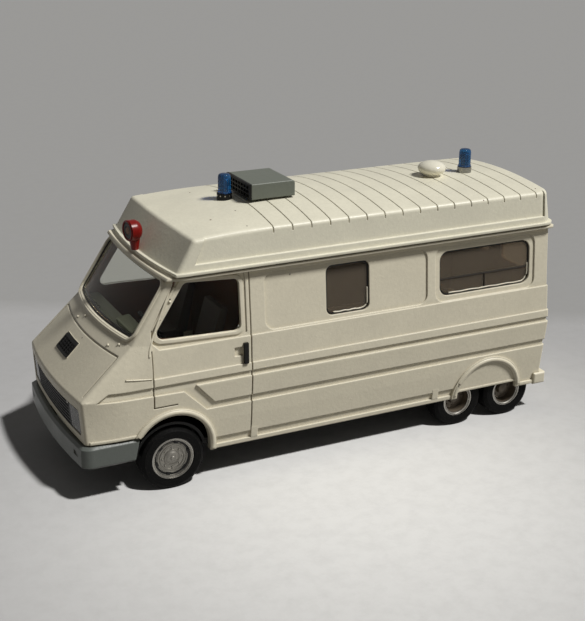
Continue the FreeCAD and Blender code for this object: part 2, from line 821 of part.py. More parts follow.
gap = size("fit_gap")
screen = front_only(nose_prism(grown(SCREEN_OPENING, -gap), size("screen_radius")), DOOR_WINDOW[2][0])
keep("windscreen", on_skin(screen, size("screen_inset") + size("glass_thick"), -size("screen_inset")))
keep("cab_door_glass", pane(side_prism(grown(DOOR_WINDOW, -gap), size("door_window_radius"))))
keep("middle_side_glass", pane(side_prism(grown(MID_WINDOW, -gap), size("window_radius"))))
keep("rear_side_glass", pane(side_prism(grown(AFT_WINDOW, -gap), size("panel_corner_radius"))))
keep("rear_door_glass", Part.makeCompound(
    [pane(tail_prism(grown(window, -gap), size("window_radius"))) for window in REAR_WINDOWS]))


def make_rails():
    """Thin rail behind the rear side glass with a short post down to the sill."""
    high = size("rail_height")
    thick = size("rail_thick")
    middle = (size("aft_window_front") + size("aft_window_rear")) / 2
    rail = rectangle(size("aft_window_front"), size("aft_window_rear"), high, high + thick)
    post = rectangle(middle - thick / 2, middle + thick / 2, size("aft_window_low"), high)
    depth = size("glass_inset") + size("glass_thick")
    return trimmed(on_skin(side_prism(rail).fuse(side_prism(post)), depth + thick, -depth))


keep("window_rails", make_rails())


def make_front_bumper():
    """Wrapped bumper with bevelled top and bottom, open at the back."""
    half = size("bumper_half")
    outline = Level(0, 0, size("bumper_corner"), half - size("bumper_corner_in"), size("bumper_cheek"), half,
                    tail_x(), size("tail_corner_radius"))
    bevel = size("bumper_bevel")
    low = size("bumper_low")
    high = size("bumper_high")
    heights = [(low, bevel), (low + bevel, 0), (high - bevel, 0), (high, bevel)]
    wires = [plan_wire(outline._replace(height=height), inset) for height, inset in heights]
    form = Part.makeLoft(wires, True, True)
    inner = stack([outline._replace(height=low - 1), outline._replace(height=high + 1)], size("bumper_thick"))
    form = form.cut(inner)
    end = size("bumper_end")
    form = form.cut(side_prism([(end - size("bumper_slant"), low - 1), (end, high + 1),
                                (end + REACH * 3, high + 1), (end + REACH * 3, low - 1)]))
    slot = size("bumper_slot_half")
    slots = [block(at(0) - 1, at(size("bumper_slot_depth")), side * size("bumper_slot_offset") - slot,
                   side * size("bumper_slot_offset") + slot,
                   size("bumper_slot_low"), size("bumper_slot_high")) for side in (-1, 1)]
    return trimmed(form.cut(Part.makeCompound(slots)))


keep("front_bumper", make_front_bumper())


def make_rear_bumper():
    """Bumper bar behind the body with rounded ends that wrap its corners."""
    half = size("rear_bumper_half")
    back = at(size("overall_length"))
    form = block(back - size("rear_bumper_wrap"), back, -half, half, size("rear_bumper_low"),
                 size("rear_bumper_high"))
    ends = [edge for edge in form.Edges if edge.BoundBox.YLength < 0.01]
    form = form.makeFillet(size("rear_bumper_rounding"), ends)
    return trimmed(form.cut(body_core(-gap)))


keep("rear_bumper", make_rear_bumper())


def nose_piece(corners, radius, depth, proud):
    return on_skin(front_only(nose_prism(corners, radius), size("nose_depth")), depth, proud)


def make_grille():
    """Dark insert with a frame and horizontal bars between the headlamps."""
    low = size("grille_low") + gap
    high = size("grille_high") - gap
    inner = size("headlamp_inner") - gap
    depth = size("grille_depth") - gap
    frame = size("grille_frame")
    form = nose_piece(rectangle(-inner, inner, low, high), 0, depth, -size("grille_set_back"))
    pitch = (high - low) / size("grille_bars")
    for index in range(int(size("grille_bars"))):
        middle = low + (index + 0.5) * pitch
        slot = nose_piece(rectangle(frame - inner, inner - frame, middle - pitch / 4, middle + pitch / 4), 0,
                          depth - size("grille_rib"), size("grille_depth"))
        form = form.cut(slot)
    return form


keep("grille", make_grille())
lamp_edge = size("grille_half") - size("lamp_margin")
lamp_low = size("grille_low") + size("lamp_margin")
lamp_high = size("grille_high") - size("lamp_margin")
keep("headlamps", Part.makeCompound([
    nose_piece(rectangle(size("headlamp_inner"), lamp_edge, lamp_low, lamp_high), 0.5,
               size("grille_depth") - gap, -0.15),
    nose_piece(rectangle(-lamp_edge, -size("headlamp_inner"), lamp_low, lamp_high), 0.5,
               size("grille_depth") - gap, -0.15)]))


def make_bonnet_vent():
    """Plain square-holed vent on the bonnet, a little to the vehicle's right of the middle."""
    bonnet_end = size("screen_base_corner")
    left = size("vent_middle") - size("vent_half")
    right = size("vent_middle") + size("vent_half")
    low = size("vent_low")
    high = size("vent_high")
    frame = size("vent_frame")
    form = on_skin(front_only(nose_prism(rectangle(left, right, low, high), frame), bonnet_end), 0,
                   size("vent_proud"))
    bar = size("vent_bar")
    wide = (right - left - 2 * frame) / size("vent_columns")
    tall = (high - low - 2 * frame) / size("vent_rows")
    holes = []
    for column in range(int(size("vent_columns"))):
        for row in range(int(size("vent_rows"))):
            y = left + frame + column * wide
            z = low + frame + row * tall
            holes.append(nose_prism(rectangle(y + bar / 2, y + wide - bar / 2, z + bar / 2, z + tall - bar / 2)))
    return form.cut(on_skin(front_only(Part.makeCompound(holes), bonnet_end), -size("vent_proud") / 3, 1))


keep("bonnet_vent", make_bonnet_vent())
handle = rectangle(size("handle_station") - size("handle_width") / 2,
                   size("handle_station") + size("handle_width") / 2, size("handle_low"), size("handle_high"))
keep("door_handles", on_skin(side_prism(handle), size("step_depth"), size("handle_proud")))

tail_lamps = []
for side in (-1, 1):
    span = sorted((side * size("tail_lamp_inner"), side * size("tail_lamp_outer")))
    lamp = tail_prism(rectangle(*span, size("tail_lamp_low"), size("tail_lamp_high")), 0.4)
    tail_lamps.append(on_skin(lamp, 0, size("tail_lamp_proud")))
keep("tail_lamps", Part.makeCompound(tail_lamps))


# Baseplate: plate inside the walls, wheel boxes, axle bearers and screw bosses
def wheel_hollow(margin, low, high):
    """The room round every wheel, grown by margin, between two half widths on both sides."""
    parts = []
    for side in (-1, 1):
        span = sorted((side * low, side * high))
        for name, height in AXLE_HEIGHT.items():
            radius = wheel_room(name) + margin
            parts.append(tube_across(AXLES[name], height, radius, *span))
            parts.append(block(at(AXLES[name]) - radius, at(AXLES[name]) + radius, *span, -REACH, height))
        parts.append(block(at(AXLES["middle"]), at(AXLES["rear"]), *span, -REACH,
                           AXLE_HEIGHT["rear"] + wheel_room("rear") + margin))
    form = parts[0]
    for part in parts[1:]:
        form = form.fuse(part)
    return form


def make_baseplate():
    low = size("base_low")
    high = low + size("base_thick")
    inset = size("wall") + gap
    plate = body_core(inset).common(block(at(size("base_front")), tail_x(), -REACH, REACH, low, high))
    inner = size("rear_wheel_face") - size("tyre_width") - 0.8
    wall = size("wheel_box_wall")
    boxes = wheel_hollow(wall, inner - wall, REACH).common(
        body_core(inset).common(block(at(size("base_front")), tail_x(), -REACH, REACH, low, SKY)))
    form = plate.fuse(boxes).cut(wheel_hollow(0, inner, REACH))
    bearer = size("bearer_half_length")
    for name, station in AXLES.items():
        for side in (-1, 1):
            span = sorted((side * size("bearer_reach"), side * (size("bearer_reach") - size("bearer_width"))))
            form = form.fuse(block(at(station) - bearer, at(station) + bearer, *span,
                                   AXLE_HEIGHT[name] - size("bearer_drop"), low + size("base_thick") / 2))
    for name in ("boss_front_station", "boss_rear_station"):
        form = form.fuse(Part.makeCylinder(size("boss_radius"), size("boss_height"),
                                           Vector(at(size(name)), 0, low), Vector(0, 0, 1)))
    # raised pad that the model rests on when it is screwed to a plinth
    seat = low - size("pad_proud")
    form = form.fuse(block(at(size("pad_front_station")), at(size("pad_rear_station")),
                           -size("pad_half"), size("pad_half"), seat, low + size("base_thick") / 2))
    for name in ("boss_front_station", "boss_rear_station"):
        form = form.cut(Part.makeCylinder(size("boss_bore_radius"), size("bore_depth"),
                                          Vector(at(size(name)), 0, seat), Vector(0, 0, 1)))
    for name, station in AXLES.items():
        form = form.cut(tube_across(station, AXLE_HEIGHT[name], size("axle_radius") + size("axle_clearance"),
                                    -inner, inner))
    # lugs that reach forward to the bumper
    rear = size("base_front") + 1
    for middle in (-size("lug_offset"), size("lug_offset")):
        form = form.fuse(block(at(rear - size("lug_length")), at(rear), middle - size("lug_half"),
                               middle + size("lug_half"), low, high))
    return trimmed(form)


keep("baseplate", make_baseplate())


def make_floor():
    room = body_core(size("wall") + gap)
    low = size("floor_height")
    return room.common(block(at(size("floor_front")), tail_x(), -REACH, REACH, low, low + size("floor_thick")))


keep("interior_floor", make_floor())


# Station and height below the dashboard's top: its section, and that of the hood over the instruments
DASH_SECTION = [(12.5, 3.4), (15.5, 0.6), (17.0, 0), (20.4, 0.6), (21.6, 2.6), (19.6, 6.5), (16.5, 9), (14.0, 9)]
HOOD_SECTION = [(17.5, 2), (16.6, -1.6), (20.0, -2.2), (21.6, 2)]


def make_dashboard():
    top = size("dash_height")
    room = body_core(size("wall") + 2 * gap)
    form = side_prism([(station, top - drop) for station, drop in DASH_SECTION]).common(room)
    driver = size("driver_side")
    hood = side_prism([(station, top - drop) for station, drop in HOOD_SECTION], 0.5)
    hood = hood.common(block(at(0), at(size("door_rear")), driver - size("hood_half"), driver + size("hood_half"),
                             0, SKY))
    pillar = block(at(DASH_SECTION[-1][0] + 1.5), at(DASH_SECTION[-2][0] + 2), -size("pillar_half"),
                   size("pillar_half"), size("floor_height") + size("floor_thick"), top - DASH_SECTION[-1][1] + 1)
    return trimmed(form.fuse(hood.common(room)).fuse(pillar))


dashboard = keep("dashboard", make_dashboard())
keep("partition", body_core(size("wall") + gap).common(
    block(at(size("partition_station")), at(size("partition_station")) + size("partition_thick"),
          -REACH, REACH, size("floor_height") + size("floor_thick"), size("eaves_height"))))


def make_seats():
    """Two plain cab seats, each a base block and a leaning back."""
    seats = []
    floor = size("floor_height") + size("floor_thick")
    seat = size("seat_height") - 1
    top = size("seat_back_height")
    rear = size("seat_rear")
    lean = size("seat_back_lean")
    for middle in (size("driver_side"), -size("driver_side")):
        half = size("seat_half")
        base = block(at(size("seat_front")), at(rear), middle - half, middle + half, floor, size("seat_height"))
        thick = size("seat_back_thick")
        back = side_prism([(rear - thick, seat), (rear + 1, seat), (rear + lean, top),
                           (rear + lean - thick, top)], 0.6)
        half = size("seat_back_half")
        back = back.common(block(at(size("seat_front")), at(size("partition_station")), middle - half, middle + half,
                                 0, SKY))
        seats.append(trimmed(base.fuse(back)))
    return Part.makeCompound(seats)


keep("cab_seats", make_seats())


def make_steering_wheel():
    """Ring, three spokes, hub and column, made flat and then tilted."""
    thick = size("wheel_ring_thick")
    radius = size("wheel_ring_radius")
    form = Part.makeCylinder(radius + thick / 2, thick, Vector(0, 0, -thick / 2))
    form = form.cut(Part.makeCylinder(radius - thick / 2, thick, Vector(0, 0, -thick / 2)))
    form = form.fuse(Part.makeCylinder(size("wheel_hub_radius"), thick, Vector(0, 0, -thick / 2)))
    for turn in (0, 120, 240):
        spoke = Part.makeBox(radius, thick, thick / 2, Vector(0, -thick / 2, -thick / 4))
        spoke.rotate(Vector(0, 0, 0), Vector(0, 0, 1), turn)
        form = form.fuse(spoke)
    length = size("column_length")
    form = form.fuse(Part.makeCylinder(size("column_radius"), length, Vector(0, 0, -length)))
    form.Placement = FreeCAD.Placement(
        Vector(at(size("column_station")), size("driver_side"), size("dash_height") + 0.6),
        FreeCAD.Rotation(Vector(0, 1, 0), size("column_tilt")))
    return form.cut(dashboard.Shape)


keep("steering_wheel", make_steering_wheel())


# Roof fittings
crown_low = crown_form(0)


def upright(station, radius, low, high):
    return Part.makeCylinder(radius, high - low, Vector(at(station), 0, low), Vector(0, 0, 1))


def seat_height(station, across=0.0):
    """Height of the roof's surface at a point."""
    probe = Part.makeLine(Vector(at(station), across, size("eaves_height")), Vector(at(station), across, SKY))
    return probe.common(crown_low).BoundBox.ZMax


for name in ("front", "rear"):
    station = size(name + "_beacon_station")
    roof = seat_height(station)
    radius = size("beacon_radius")
    lens_low = roof + size("beacon_base_height")
    lens_high = roof + size("beacon_height")
    base = upright(station, radius + 0.15, roof - 1, lens_low).cut(crown_low)
    lens = Part.makeCone(radius, radius * 0.94, lens_high - lens_low, Vector(at(station), 0, lens_low))
    rim = [edge for edge in lens.Edges if edge.BoundBox.ZMin > lens_high - 0.01]
    keep(name + "_beacon_base", base)
    keep(name + "_beacon_lens", lens.makeFillet(0.5, rim[:1]))

dome_roof = seat_height(size("dome_station"))
dome = doc.addObject("Part::Ellipsoid", "dome_top")
dome.setExpression("Radius1", "sizes.dome_half_height")
dome.setExpression("Radius2", "sizes.dome_radius")
dome.setExpression("Radius3", "sizes.dome_radius")
dome.Placement = FreeCAD.Placement(
    Vector(at(size("dome_station")), 0, dome_roof + size("dome_gap") + size("dome_half_height")),
    FreeCAD.Rotation())
dome_neck = doc.addObject("Part::Cylinder", "dome_neck")
dome_neck.setExpression("Radius", "sizes.dome_radius * 0.6")
dome_neck.setExpression("Height", "1 + sizes.dome_gap + sizes.dome_half_height")
dome_neck.Placement = FreeCAD.Placement(Vector(at(size("dome_station")), 0, dome_roof - 1), FreeCAD.Rotation())
dome_whole = doc.addObject("Part::Fuse", "dome_whole")
dome_whole.Base = dome
dome_whole.Tool = dome_neck
roof_surface = doc.addObject("Part::Feature", "roof_surface")
roof_surface.Shape = crown_low
roof_vent = doc.addObject("Part::Cut", "roof_vent")
roof_vent.Base = dome_whole
roof_vent.Tool = roof_surface
roof_vent.Label = "roof_vent"
pieces.append(roof_vent)

box_front = at(size("box_station"))
box_back = box_front + size("box_length")
box_half = size("box_half")
box_low = size("box_low")
box_high = size("box_high")
siren = block(box_front + size("mesh_depth"), box_back, -box_half, box_half, box_low, box_high)
rear_rim = [edge for edge in siren.Edges if edge.BoundBox.XMin > box_back - 0.01 and edge.BoundBox.ZMin > box_low]
siren = siren.makeFillet(size("box_edge_radius"), rear_rim)
sides = [edge for edge in siren.Edges if edge.BoundBox.XLength > 5 and edge.BoundBox.ZMin > box_high - 0.01
         and edge.BoundBox.YLength < 0.01]
keep("siren_box", siren.makeFillet(size("box_edge_radius") / 3, sides))


def make_mesh():
    """Front of the siren box: a frame and a lattice of bars."""
    form = block(box_front, box_front + size("mesh_depth"), -box_half, box_half, box_low, box_high)
    frame = size("mesh_frame")
    bar = size("mesh_bar")
    wide = (2 * box_half - 2 * frame) / size("mesh_columns")
    tall = (box_high - box_low - 2 * frame) / size("mesh_rows")
    holes = []
    for column in range(int(size("mesh_columns"))):
        for row in range(int(size("mesh_rows"))):
            y = frame - box_half + column * wide
            z = box_low + frame + row * tall
            holes.append(block(box_front - 1, box_front + size("mesh_hole_depth"), y + bar / 2, y + wide - bar / 2,
                               z + bar / 2, z + tall - bar / 2))
    return form.cut(Part.makeCompound(holes))


keep("siren_mesh", make_mesh())
feet = []
for x in (box_front + 3, box_back - 3):
    for y in (2 - box_half, box_half - 2):
        feet.append(Part.makeCylinder(size("box_foot_radius"), box_low - size("eaves_height"),
                                      Vector(x, y, size("eaves_height"))))
keep("siren_feet", Part.makeCompound(feet).cut(crown_low))

# Round red lamp over the windscreen, turned a little to the left, on a stalk that stands on the gutter
lamp_face = Vector(at(size("lamp_station")), 0, size("lamp_height"))
lamp_middle = lamp_face + Vector(size("lamp_length") / 2, 0, 0)


def lamp_turned(shape):
    shape.rotate(lamp_middle, Vector(0, 0, 1), size("lamp_turn"))
    return shape


def make_lamp_housing():
    """Deep bowl with a domed back and an open front, on a tapering stalk."""
    along = Vector(1, 0, 0)
    radius = size("lamp_radius")
    bowl = Part.makeCylinder(radius, size("lamp_length"), lamp_face, along)
    back_rim = [edge for edge in bowl.Edges if edge.BoundBox.XMin > lamp_middle.x + 0.1]
    bowl = bowl.makeFillet(0.7 * radius, back_rim)
    bowl = lamp_turned(bowl.cut(Part.makeCylinder(radius - size("lamp_rim"), 0.6, lamp_face, along)))
    foot = size("eaves_height") + size("gutter_thick")
    stalk = Part.makeCone(0.9, 1.5, size("lamp_height") - radius / 2 - foot,
                          Vector(lamp_face.x + size("lamp_length") / 2, 0, foot))
    stalk = stalk.cut(lamp_turned(Part.makeCylinder(radius - size("lamp_rim"), 0.6, lamp_face, along)))
    return trimmed(bowl.fuse(stalk)).cut(cap_form(-gap))


keep("front_lamp_housing", make_lamp_housing())
keep("front_lamp_lens", lamp_turned(Part.makeCylinder(
    size("lamp_radius") - size("lamp_rim") - gap, 0.45, lamp_face + Vector(0.15, 0, 0), Vector(1, 0, 0))))


# Wheels: turned rims and tyres on a plain axle
def turned_piece(label, profile, place):
    """A body turned about its own X axis from a closed profile of along and radius expressions."""
    body = doc.addObject("PartDesign::Body", label)
    body.Label = label
    sketch = body.newObject("Sketcher::SketchObject", label + "_profile")
    planes = {feature.Role: feature for feature in body.Origin.OriginFeatures}
    sketch.AttachmentSupport = [(planes["XY_Plane"], "")]
    sketch.MapMode = "FlatFace"
    spots = [Vector(sheet.evalExpression(along), sheet.evalExpression(radius), 0) for along, radius in profile]
    for index, spot in enumerate(spots):
        sketch.addGeometry(Part.LineSegment(spot, spots[(index + 1) % len(spots)]), False)
    for index in range(len(spots)):
        sketch.addConstraint(Sketcher.Constraint("Coincident", index, 2, (index + 1) % len(spots), 1))
    for index, (along, radius) in enumerate(profile):
        row = sketch.addConstraint(Sketcher.Constraint("DistanceX", -1, 1, index, 1, spots[index].x))
        sketch.setExpression("Constraints[%d]" % row, along)
        row = sketch.addConstraint(Sketcher.Constraint("DistanceY", -1, 1, index, 1, spots[index].y))
        sketch.setExpression("Constraints[%d]" % row, radius)
    turn = body.newObject("PartDesign::Revolution", label + "_turn")
    turn.Profile = sketch
    turn.ReferenceAxis = (planes["X_Axis"], [""])
    turn.Angle = 360
    body.Placement = place
    pieces.append(body)
    return body


def wheel_place(name, side):
    """The wheel's own X axis points outward from its inner face."""
    face = WHEEL_FACE[name] - size("tyre_width")
    return FreeCAD.Placement(Vector(at(AXLES[name]), side * face, AXLE_HEIGHT[name]),
                             FreeCAD.Rotation(Vector(0, 0, 1), 90 * side))


def tyre_profile(kind):
    """Tyre with a chamfered outer shoulder."""
    tyre = "sizes.%s_tyre_radius" % kind
    rim = "sizes.%s_rim_radius" % kind
    return [("0", rim), ("sizes.tyre_width", rim), ("sizes.tyre_width", tyre + " - 0.8"),
            ("sizes.tyre_width - 0.6", tyre), ("0", tyre)]


# Rims, from the bore round the closed hub and the face to the lip and back to the inner edge
RIM_PROFILE = {
    "front": [
        ("0.4", "sizes.axle_radius"),
        ("sizes.tyre_width - sizes.axle_recess", "sizes.axle_radius"),
        ("sizes.tyre_width - sizes.axle_recess", "0"),
        ("sizes.tyre_width - 0.2", "0"),
        ("sizes.tyre_width - 0.5", "1.3"),
        ("sizes.tyre_width - 0.9", "2.0"),
        ("sizes.tyre_width - 0.9", "sizes.front_rim_radius - 1.4"),
        ("sizes.tyre_width - 1.3", "sizes.front_rim_radius - 1.1"),
        ("sizes.tyre_width - 0.2", "sizes.front_rim_radius - 0.7"),
        ("sizes.tyre_width - 0.3", "sizes.front_rim_radius"),
        ("0.4", "sizes.front_rim_radius"),
    ],
    "rear": [
        ("0.4", "sizes.axle_radius"),
        ("sizes.tyre_width - sizes.axle_recess", "sizes.axle_radius"),
        ("sizes.tyre_width - sizes.axle_recess", "0"),
        ("sizes.tyre_width - 1.3", "0"),
        ("sizes.tyre_width - 1.6", "1.2"),
        ("sizes.tyre_width - 2.6", "1.7"),
        ("sizes.tyre_width - 2.6", "sizes.rear_rim_radius - 1.3"),
        ("sizes.tyre_width - 0.7", "sizes.rear_rim_radius - 0.9"),
        ("sizes.tyre_width - 0.2", "sizes.rear_rim_radius - 0.3"),
        ("sizes.tyre_width - 0.3", "sizes.rear_rim_radius"),
        ("0.4", "sizes.rear_rim_radius"),
    ],
}

for name, kind in WHEEL_KIND.items():
    reach = WHEEL_FACE[name] - size("axle_recess")
    axle = doc.addObject("Part::Cylinder", name + "_axle")
    axle.Label = name + "_axle"
    axle.setExpression("Radius", "sizes.axle_radius")
    axle.setExpression("Height", "2 * (sizes.%s_wheel_face - sizes.axle_recess)" % kind)
    axle.Placement = FreeCAD.Placement(Vector(at(AXLES[name]), -reach, AXLE_HEIGHT[name]),
                                       FreeCAD.Rotation(Vector(1, 0, 0), -90))
    pieces.append(axle)
    for side, word in ((-1, "left"), (1, "right")):
        turned_piece("%s_tyre_%s" % (name, word), tyre_profile(kind), wheel_place(name, side))
        turned_piece("%s_rim_%s" % (name, word), RIM_PROFILE[kind], wheel_place(name, side))

doc.recompute()

faults = [item.Label for item in doc.Objects if "Invalid" in item.State or "Error" in item.State]
faults += [piece.Label for piece in pieces if piece.Shape.isNull() or not piece.Shape.isValid()]
if faults:
    raise RuntimeError("failed objects: " + ", ".join(faults))
os.makedirs("parts", exist_ok=True)
for piece in pieces:
    piece.Shape.exportStep(os.path.join("parts", piece.Label + ".step"))
    print(piece.Label, len(piece.Shape.Solids), round(piece.Shape.Volume, 2))
whole = Part.makeCompound([piece.Shape for piece in pieces]).BoundBox
print("box", whole)
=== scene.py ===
import bpy
import bmesh
import json
import math
from mathutils import Matrix, Vector
from mathutils.bvhtree import BVHTree


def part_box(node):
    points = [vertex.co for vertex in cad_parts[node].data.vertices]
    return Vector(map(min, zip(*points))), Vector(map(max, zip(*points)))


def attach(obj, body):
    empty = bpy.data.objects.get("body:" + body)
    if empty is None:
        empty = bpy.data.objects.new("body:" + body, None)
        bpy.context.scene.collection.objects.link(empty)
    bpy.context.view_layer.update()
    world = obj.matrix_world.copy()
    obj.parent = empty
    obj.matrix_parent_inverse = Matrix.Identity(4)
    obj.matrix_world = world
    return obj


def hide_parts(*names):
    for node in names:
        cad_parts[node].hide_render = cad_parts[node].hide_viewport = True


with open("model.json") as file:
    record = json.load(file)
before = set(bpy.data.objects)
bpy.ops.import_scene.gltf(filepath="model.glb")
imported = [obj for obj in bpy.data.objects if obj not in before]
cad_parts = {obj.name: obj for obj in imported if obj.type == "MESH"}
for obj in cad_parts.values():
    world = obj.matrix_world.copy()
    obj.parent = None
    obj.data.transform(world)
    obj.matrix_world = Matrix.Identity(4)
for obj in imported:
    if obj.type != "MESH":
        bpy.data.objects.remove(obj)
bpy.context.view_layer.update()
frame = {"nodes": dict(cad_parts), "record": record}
nodes = frame["nodes"]
# A millimetre in Blender's metres
MM = 0.001
FULL_TURN = 2 * math.pi

# The photograph's frame in pixels, its focal length, and where its camera stood
PHOTO_WIDTH = 585
PHOTO_HEIGHT = 621
FOCAL_PIXELS = 1227.04
SENSOR = 36.0
CAMERA_PLACE = Vector((-133.88, -270.44, 143.38)) * MM
CAMERA_AZIMUTH = -26.331
CAMERA_ELEVATION = 20.294
CAMERA_ROLL = 0.544

# Wheels and tyres, in mm
FRONT_RIM_RADIUS = 5.43
REAR_RIM_RADIUS = 4.5
FRONT_TYRE_RADIUS = 7.94
REAR_TYRE_RADIUS = 7.1
# Each axle's place along the model, its height and its wheels' outer face, in mm, and the body that turns
AXLES = (
    ("front", -42.45, FRONT_TYRE_RADIUS, 22.2, "front_wheels"),
    ("middle", 39.25, REAR_TYRE_RADIUS, 21.1, "middle_wheels"),
    ("rear", 54.95, REAR_TYRE_RADIUS, 21.1, "rear_wheels"),
)
SIDES = (("left", -1), ("right", 1))

# The middle of the side walls, in mm from the middle line, the height above which they lean in and by how
# much, and the place ahead of which the nose draws them in and by how much
WALL_MIDDLE = 22.6
WAIST = 26.0
WALL_LEAN = 0.088
NOSE_START = -44.0
NOSE_LEAN = -0.25
# The windscreen's slope: where it would meet the floor, in mm, its crown per mm, and its lean
SCREEN_MIDDLE = -80.35
SCREEN_CROWN = 0.0062
SCREEN_LEAN = 0.718
# The middle of the rear doors, the height of the floor inside and the front of the cab's room, in mm
REAR_WALL_MIDDLE = 64.3
FLOOR_LEVEL = 22.0
CAB_FRONT = -54.0
# Half the width of the soft edge between outer paint and the painted shade inside, in mm
INSIDE_EDGE = 0.06

# Where a line of sight starts, in mm, and where it goes
IN_FRONT = -90
BEHIND = 90
BESIDE = 40
BACKWARDS = (1, 0, 0)
FORWARDS = (-1, 0, 0)
DOWNWARDS = (0, 0, -1)

# Faces that meet more sharply than this keep a hard edge, and points closer than this are one, in mm
SHARP_ANGLE = math.radians(35)
WELD = 0.001


def linear(code):
    """sRGB hex to a linear colour."""
    channels = [int(code[i:i + 2], 16) / 255 for i in (1, 3, 5)]
    return tuple(c / 12.92 if c <= 0.04045 else ((c + 0.055) / 1.055) ** 2.4 for c in channels) + (1.0,)


def shade(code, factor):
    """A linear colour made lighter or darker by factor."""
    return tuple(min(1.0, factor * c) for c in linear(code)[:3]) + (1.0,)


def add(tree, kind, inputs=None, **settings):
    """A node of a kind with its settings; an input is a value or another node's output."""
    node = tree.nodes.new("ShaderNode" + kind)
    for name, value in settings.items():
        setattr(node, name, value)
    for name, value in (inputs or {}).items():
        socket = node.inputs[name]
        if isinstance(value, bpy.types.NodeSocket):
            tree.links.new(value, socket)
        else:
            socket.default_value = value
    return node


def per_mm(spacing):
    """Texture scale that repeats about once in spacing millimetres."""
    return 1 / (spacing * MM)


def new_material(name):
    """An empty material and its node tree."""
    material = bpy.data.materials.new(name)
    material.use_nodes = True
    material.node_tree.nodes.clear()
    return material, material.node_tree


def finish_material(tree, shader):
    """Sets a shader as the surface of its material."""
    output = add(tree, "OutputMaterial")
    tree.links.new(shader.outputs[0], output.inputs["Surface"])


def where(tree):
    """A spot's place in its piece's own frame, in metres."""
    return add(tree, "TexCoord").outputs["Object"]


def blend_colours(tree, factor, low, high):
    """Mix of two colours; input 6 is colour A, 7 colour B and output 2 the result."""
    mix = add(tree, "Mix", {"Factor": factor}, data_type="RGBA")
    for index, colour in ((6, low), (7, high)):
        if isinstance(colour, bpy.types.NodeSocket):
            tree.links.new(colour, mix.inputs[index])
        else:
            mix.inputs[index].default_value = colour
    return mix.outputs[2]


def ramp(tree, value, low, high, start=0.0, end=1.0):
    """start where value is low and end where it is high, straight between them."""
    return add(tree, "MapRange", {"Value": value, "From Min": low, "From Max": high, "To Min": start,
                                  "To Max": end}).outputs[0]


def seen_share(tree):
    """1 for what the eye sees, straight or in gloss and glass, and 0 for light on its way between things."""
    path = add(tree, "LightPath")
    seen = add(tree, "Math", {0: path.outputs["Is Camera Ray"], 1: path.outputs["Is Glossy Ray"]},
               operation="MAXIMUM")
    return add(tree, "Math", {0: seen.outputs[0], 1: path.outputs["Is Transmission Ray"]},
               operation="MAXIMUM").outputs[0]


def sunlit_through(tree, glass, code):
    """A glass shader that lamps shine through in its own colour, without a hard shadow."""
    through = add(tree, "BsdfTransparent", {"Color": linear(code)})
    path = add(tree, "LightPath")
    return add(tree, "MixShader", {0: path.outputs["Is Shadow Ray"], 1: glass.outputs[0],
                                   2: through.outputs[0]})


def wheel_radius(tree, place):
    """Distance from the nearest axle's middle line, in metres, for rings on wheels and tyres."""
    nearest = None
    for _, station, height, _, _ in AXLES:
        apart = add(tree, "VectorMath", {0: place, 1: (station * MM, 0, height * MM)}, operation="SUBTRACT")
        flat = add(tree, "VectorMath", {0: apart.outputs[0], 1: (1, 0, 1)}, operation="MULTIPLY")
        length = add(tree, "VectorMath", {0: flat.outputs[0]}, operation="LENGTH").outputs["Value"]
        if nearest is None:
            nearest = length
        else:
            nearest = add(tree, "Math", {0: nearest, 1: length}, operation="MINIMUM").outputs[0]
    return nearest


def inside_shade_share(tree, place):
    """1 on the inner half of the body's walls, where dark brown is painted as shade, and 0 outside."""
    apart = add(tree, "SeparateXYZ", {"Vector": place})
    along, across, height = apart.outputs
    reach = add(tree, "Math", {0: across}, operation="ABSOLUTE").outputs[0]
    for value, start, lean in ((height, WAIST, WALL_LEAN), (along, NOSE_START, NOSE_LEAN)):
        sign = 1 if lean > 0 else -1
        past = add(tree, "Math", {0: value, 1: start * MM}, operation="SUBTRACT").outputs[0]
        past = add(tree, "Math", {0: past, 1: sign}, operation="MULTIPLY").outputs[0]
        past = add(tree, "Math", {0: past, 1: 0.0}, operation="MAXIMUM").outputs[0]
        reach = add(tree, "Math", {0: past, 1: sign * lean, 2: reach}, operation="MULTIPLY_ADD").outputs[0]
    slope = add(tree, "Math", {0: height, 1: -SCREEN_LEAN, 2: along}, operation="MULTIPLY_ADD").outputs[0]
    square = add(tree, "Math", {0: across, 1: across}, operation="MULTIPLY").outputs[0]
    slope = add(tree, "Math", {0: square, 1: -SCREEN_CROWN / MM, 2: slope},
                operation="MULTIPLY_ADD").outputs[0]
    share = None
    for value, limit, rising in ((reach, WALL_MIDDLE, False), (slope, SCREEN_MIDDLE, True),
                                 (along, REAR_WALL_MIDDLE, False), (height, FLOOR_LEVEL, True),
                                 (along, CAB_FRONT, True)):
        near, far = (0.0, 1.0) if rising else (1.0, 0.0)
        part = ramp(tree, value, (limit - INSIDE_EDGE) * MM, (limit + INSIDE_EDGE) * MM, near, far)
        share = part if share is None else add(tree, "Math", {0: share, 1: part},
                                               operation="MULTIPLY").outputs[0]
    return share


# The enamel's patterns, in mm from one to the next: uneven coats, brush mottle, chips and dust specks
COAT_SPACING = 8.0
MOTTLE_SPACING = 0.9
CHIP_SPACING = 9.0
SPECK_SPACING = 1.4
# How far the paint rounds a cast edge, and how near another face must be for painted shade to darken a
# groove, in mm
PAINT_ROUND = 0.38
GROOVE_SHADE_REACH = 0.7
# The brown of the painted shade in grooves and recesses
GROOVE_SHADE_COLOUR = "#6A5A44"
CHIPPED = "#3B3226"
# The dark brown painted as shade on the inner walls of the body
INSIDE_SHADE_BROWN = "#5F3413"


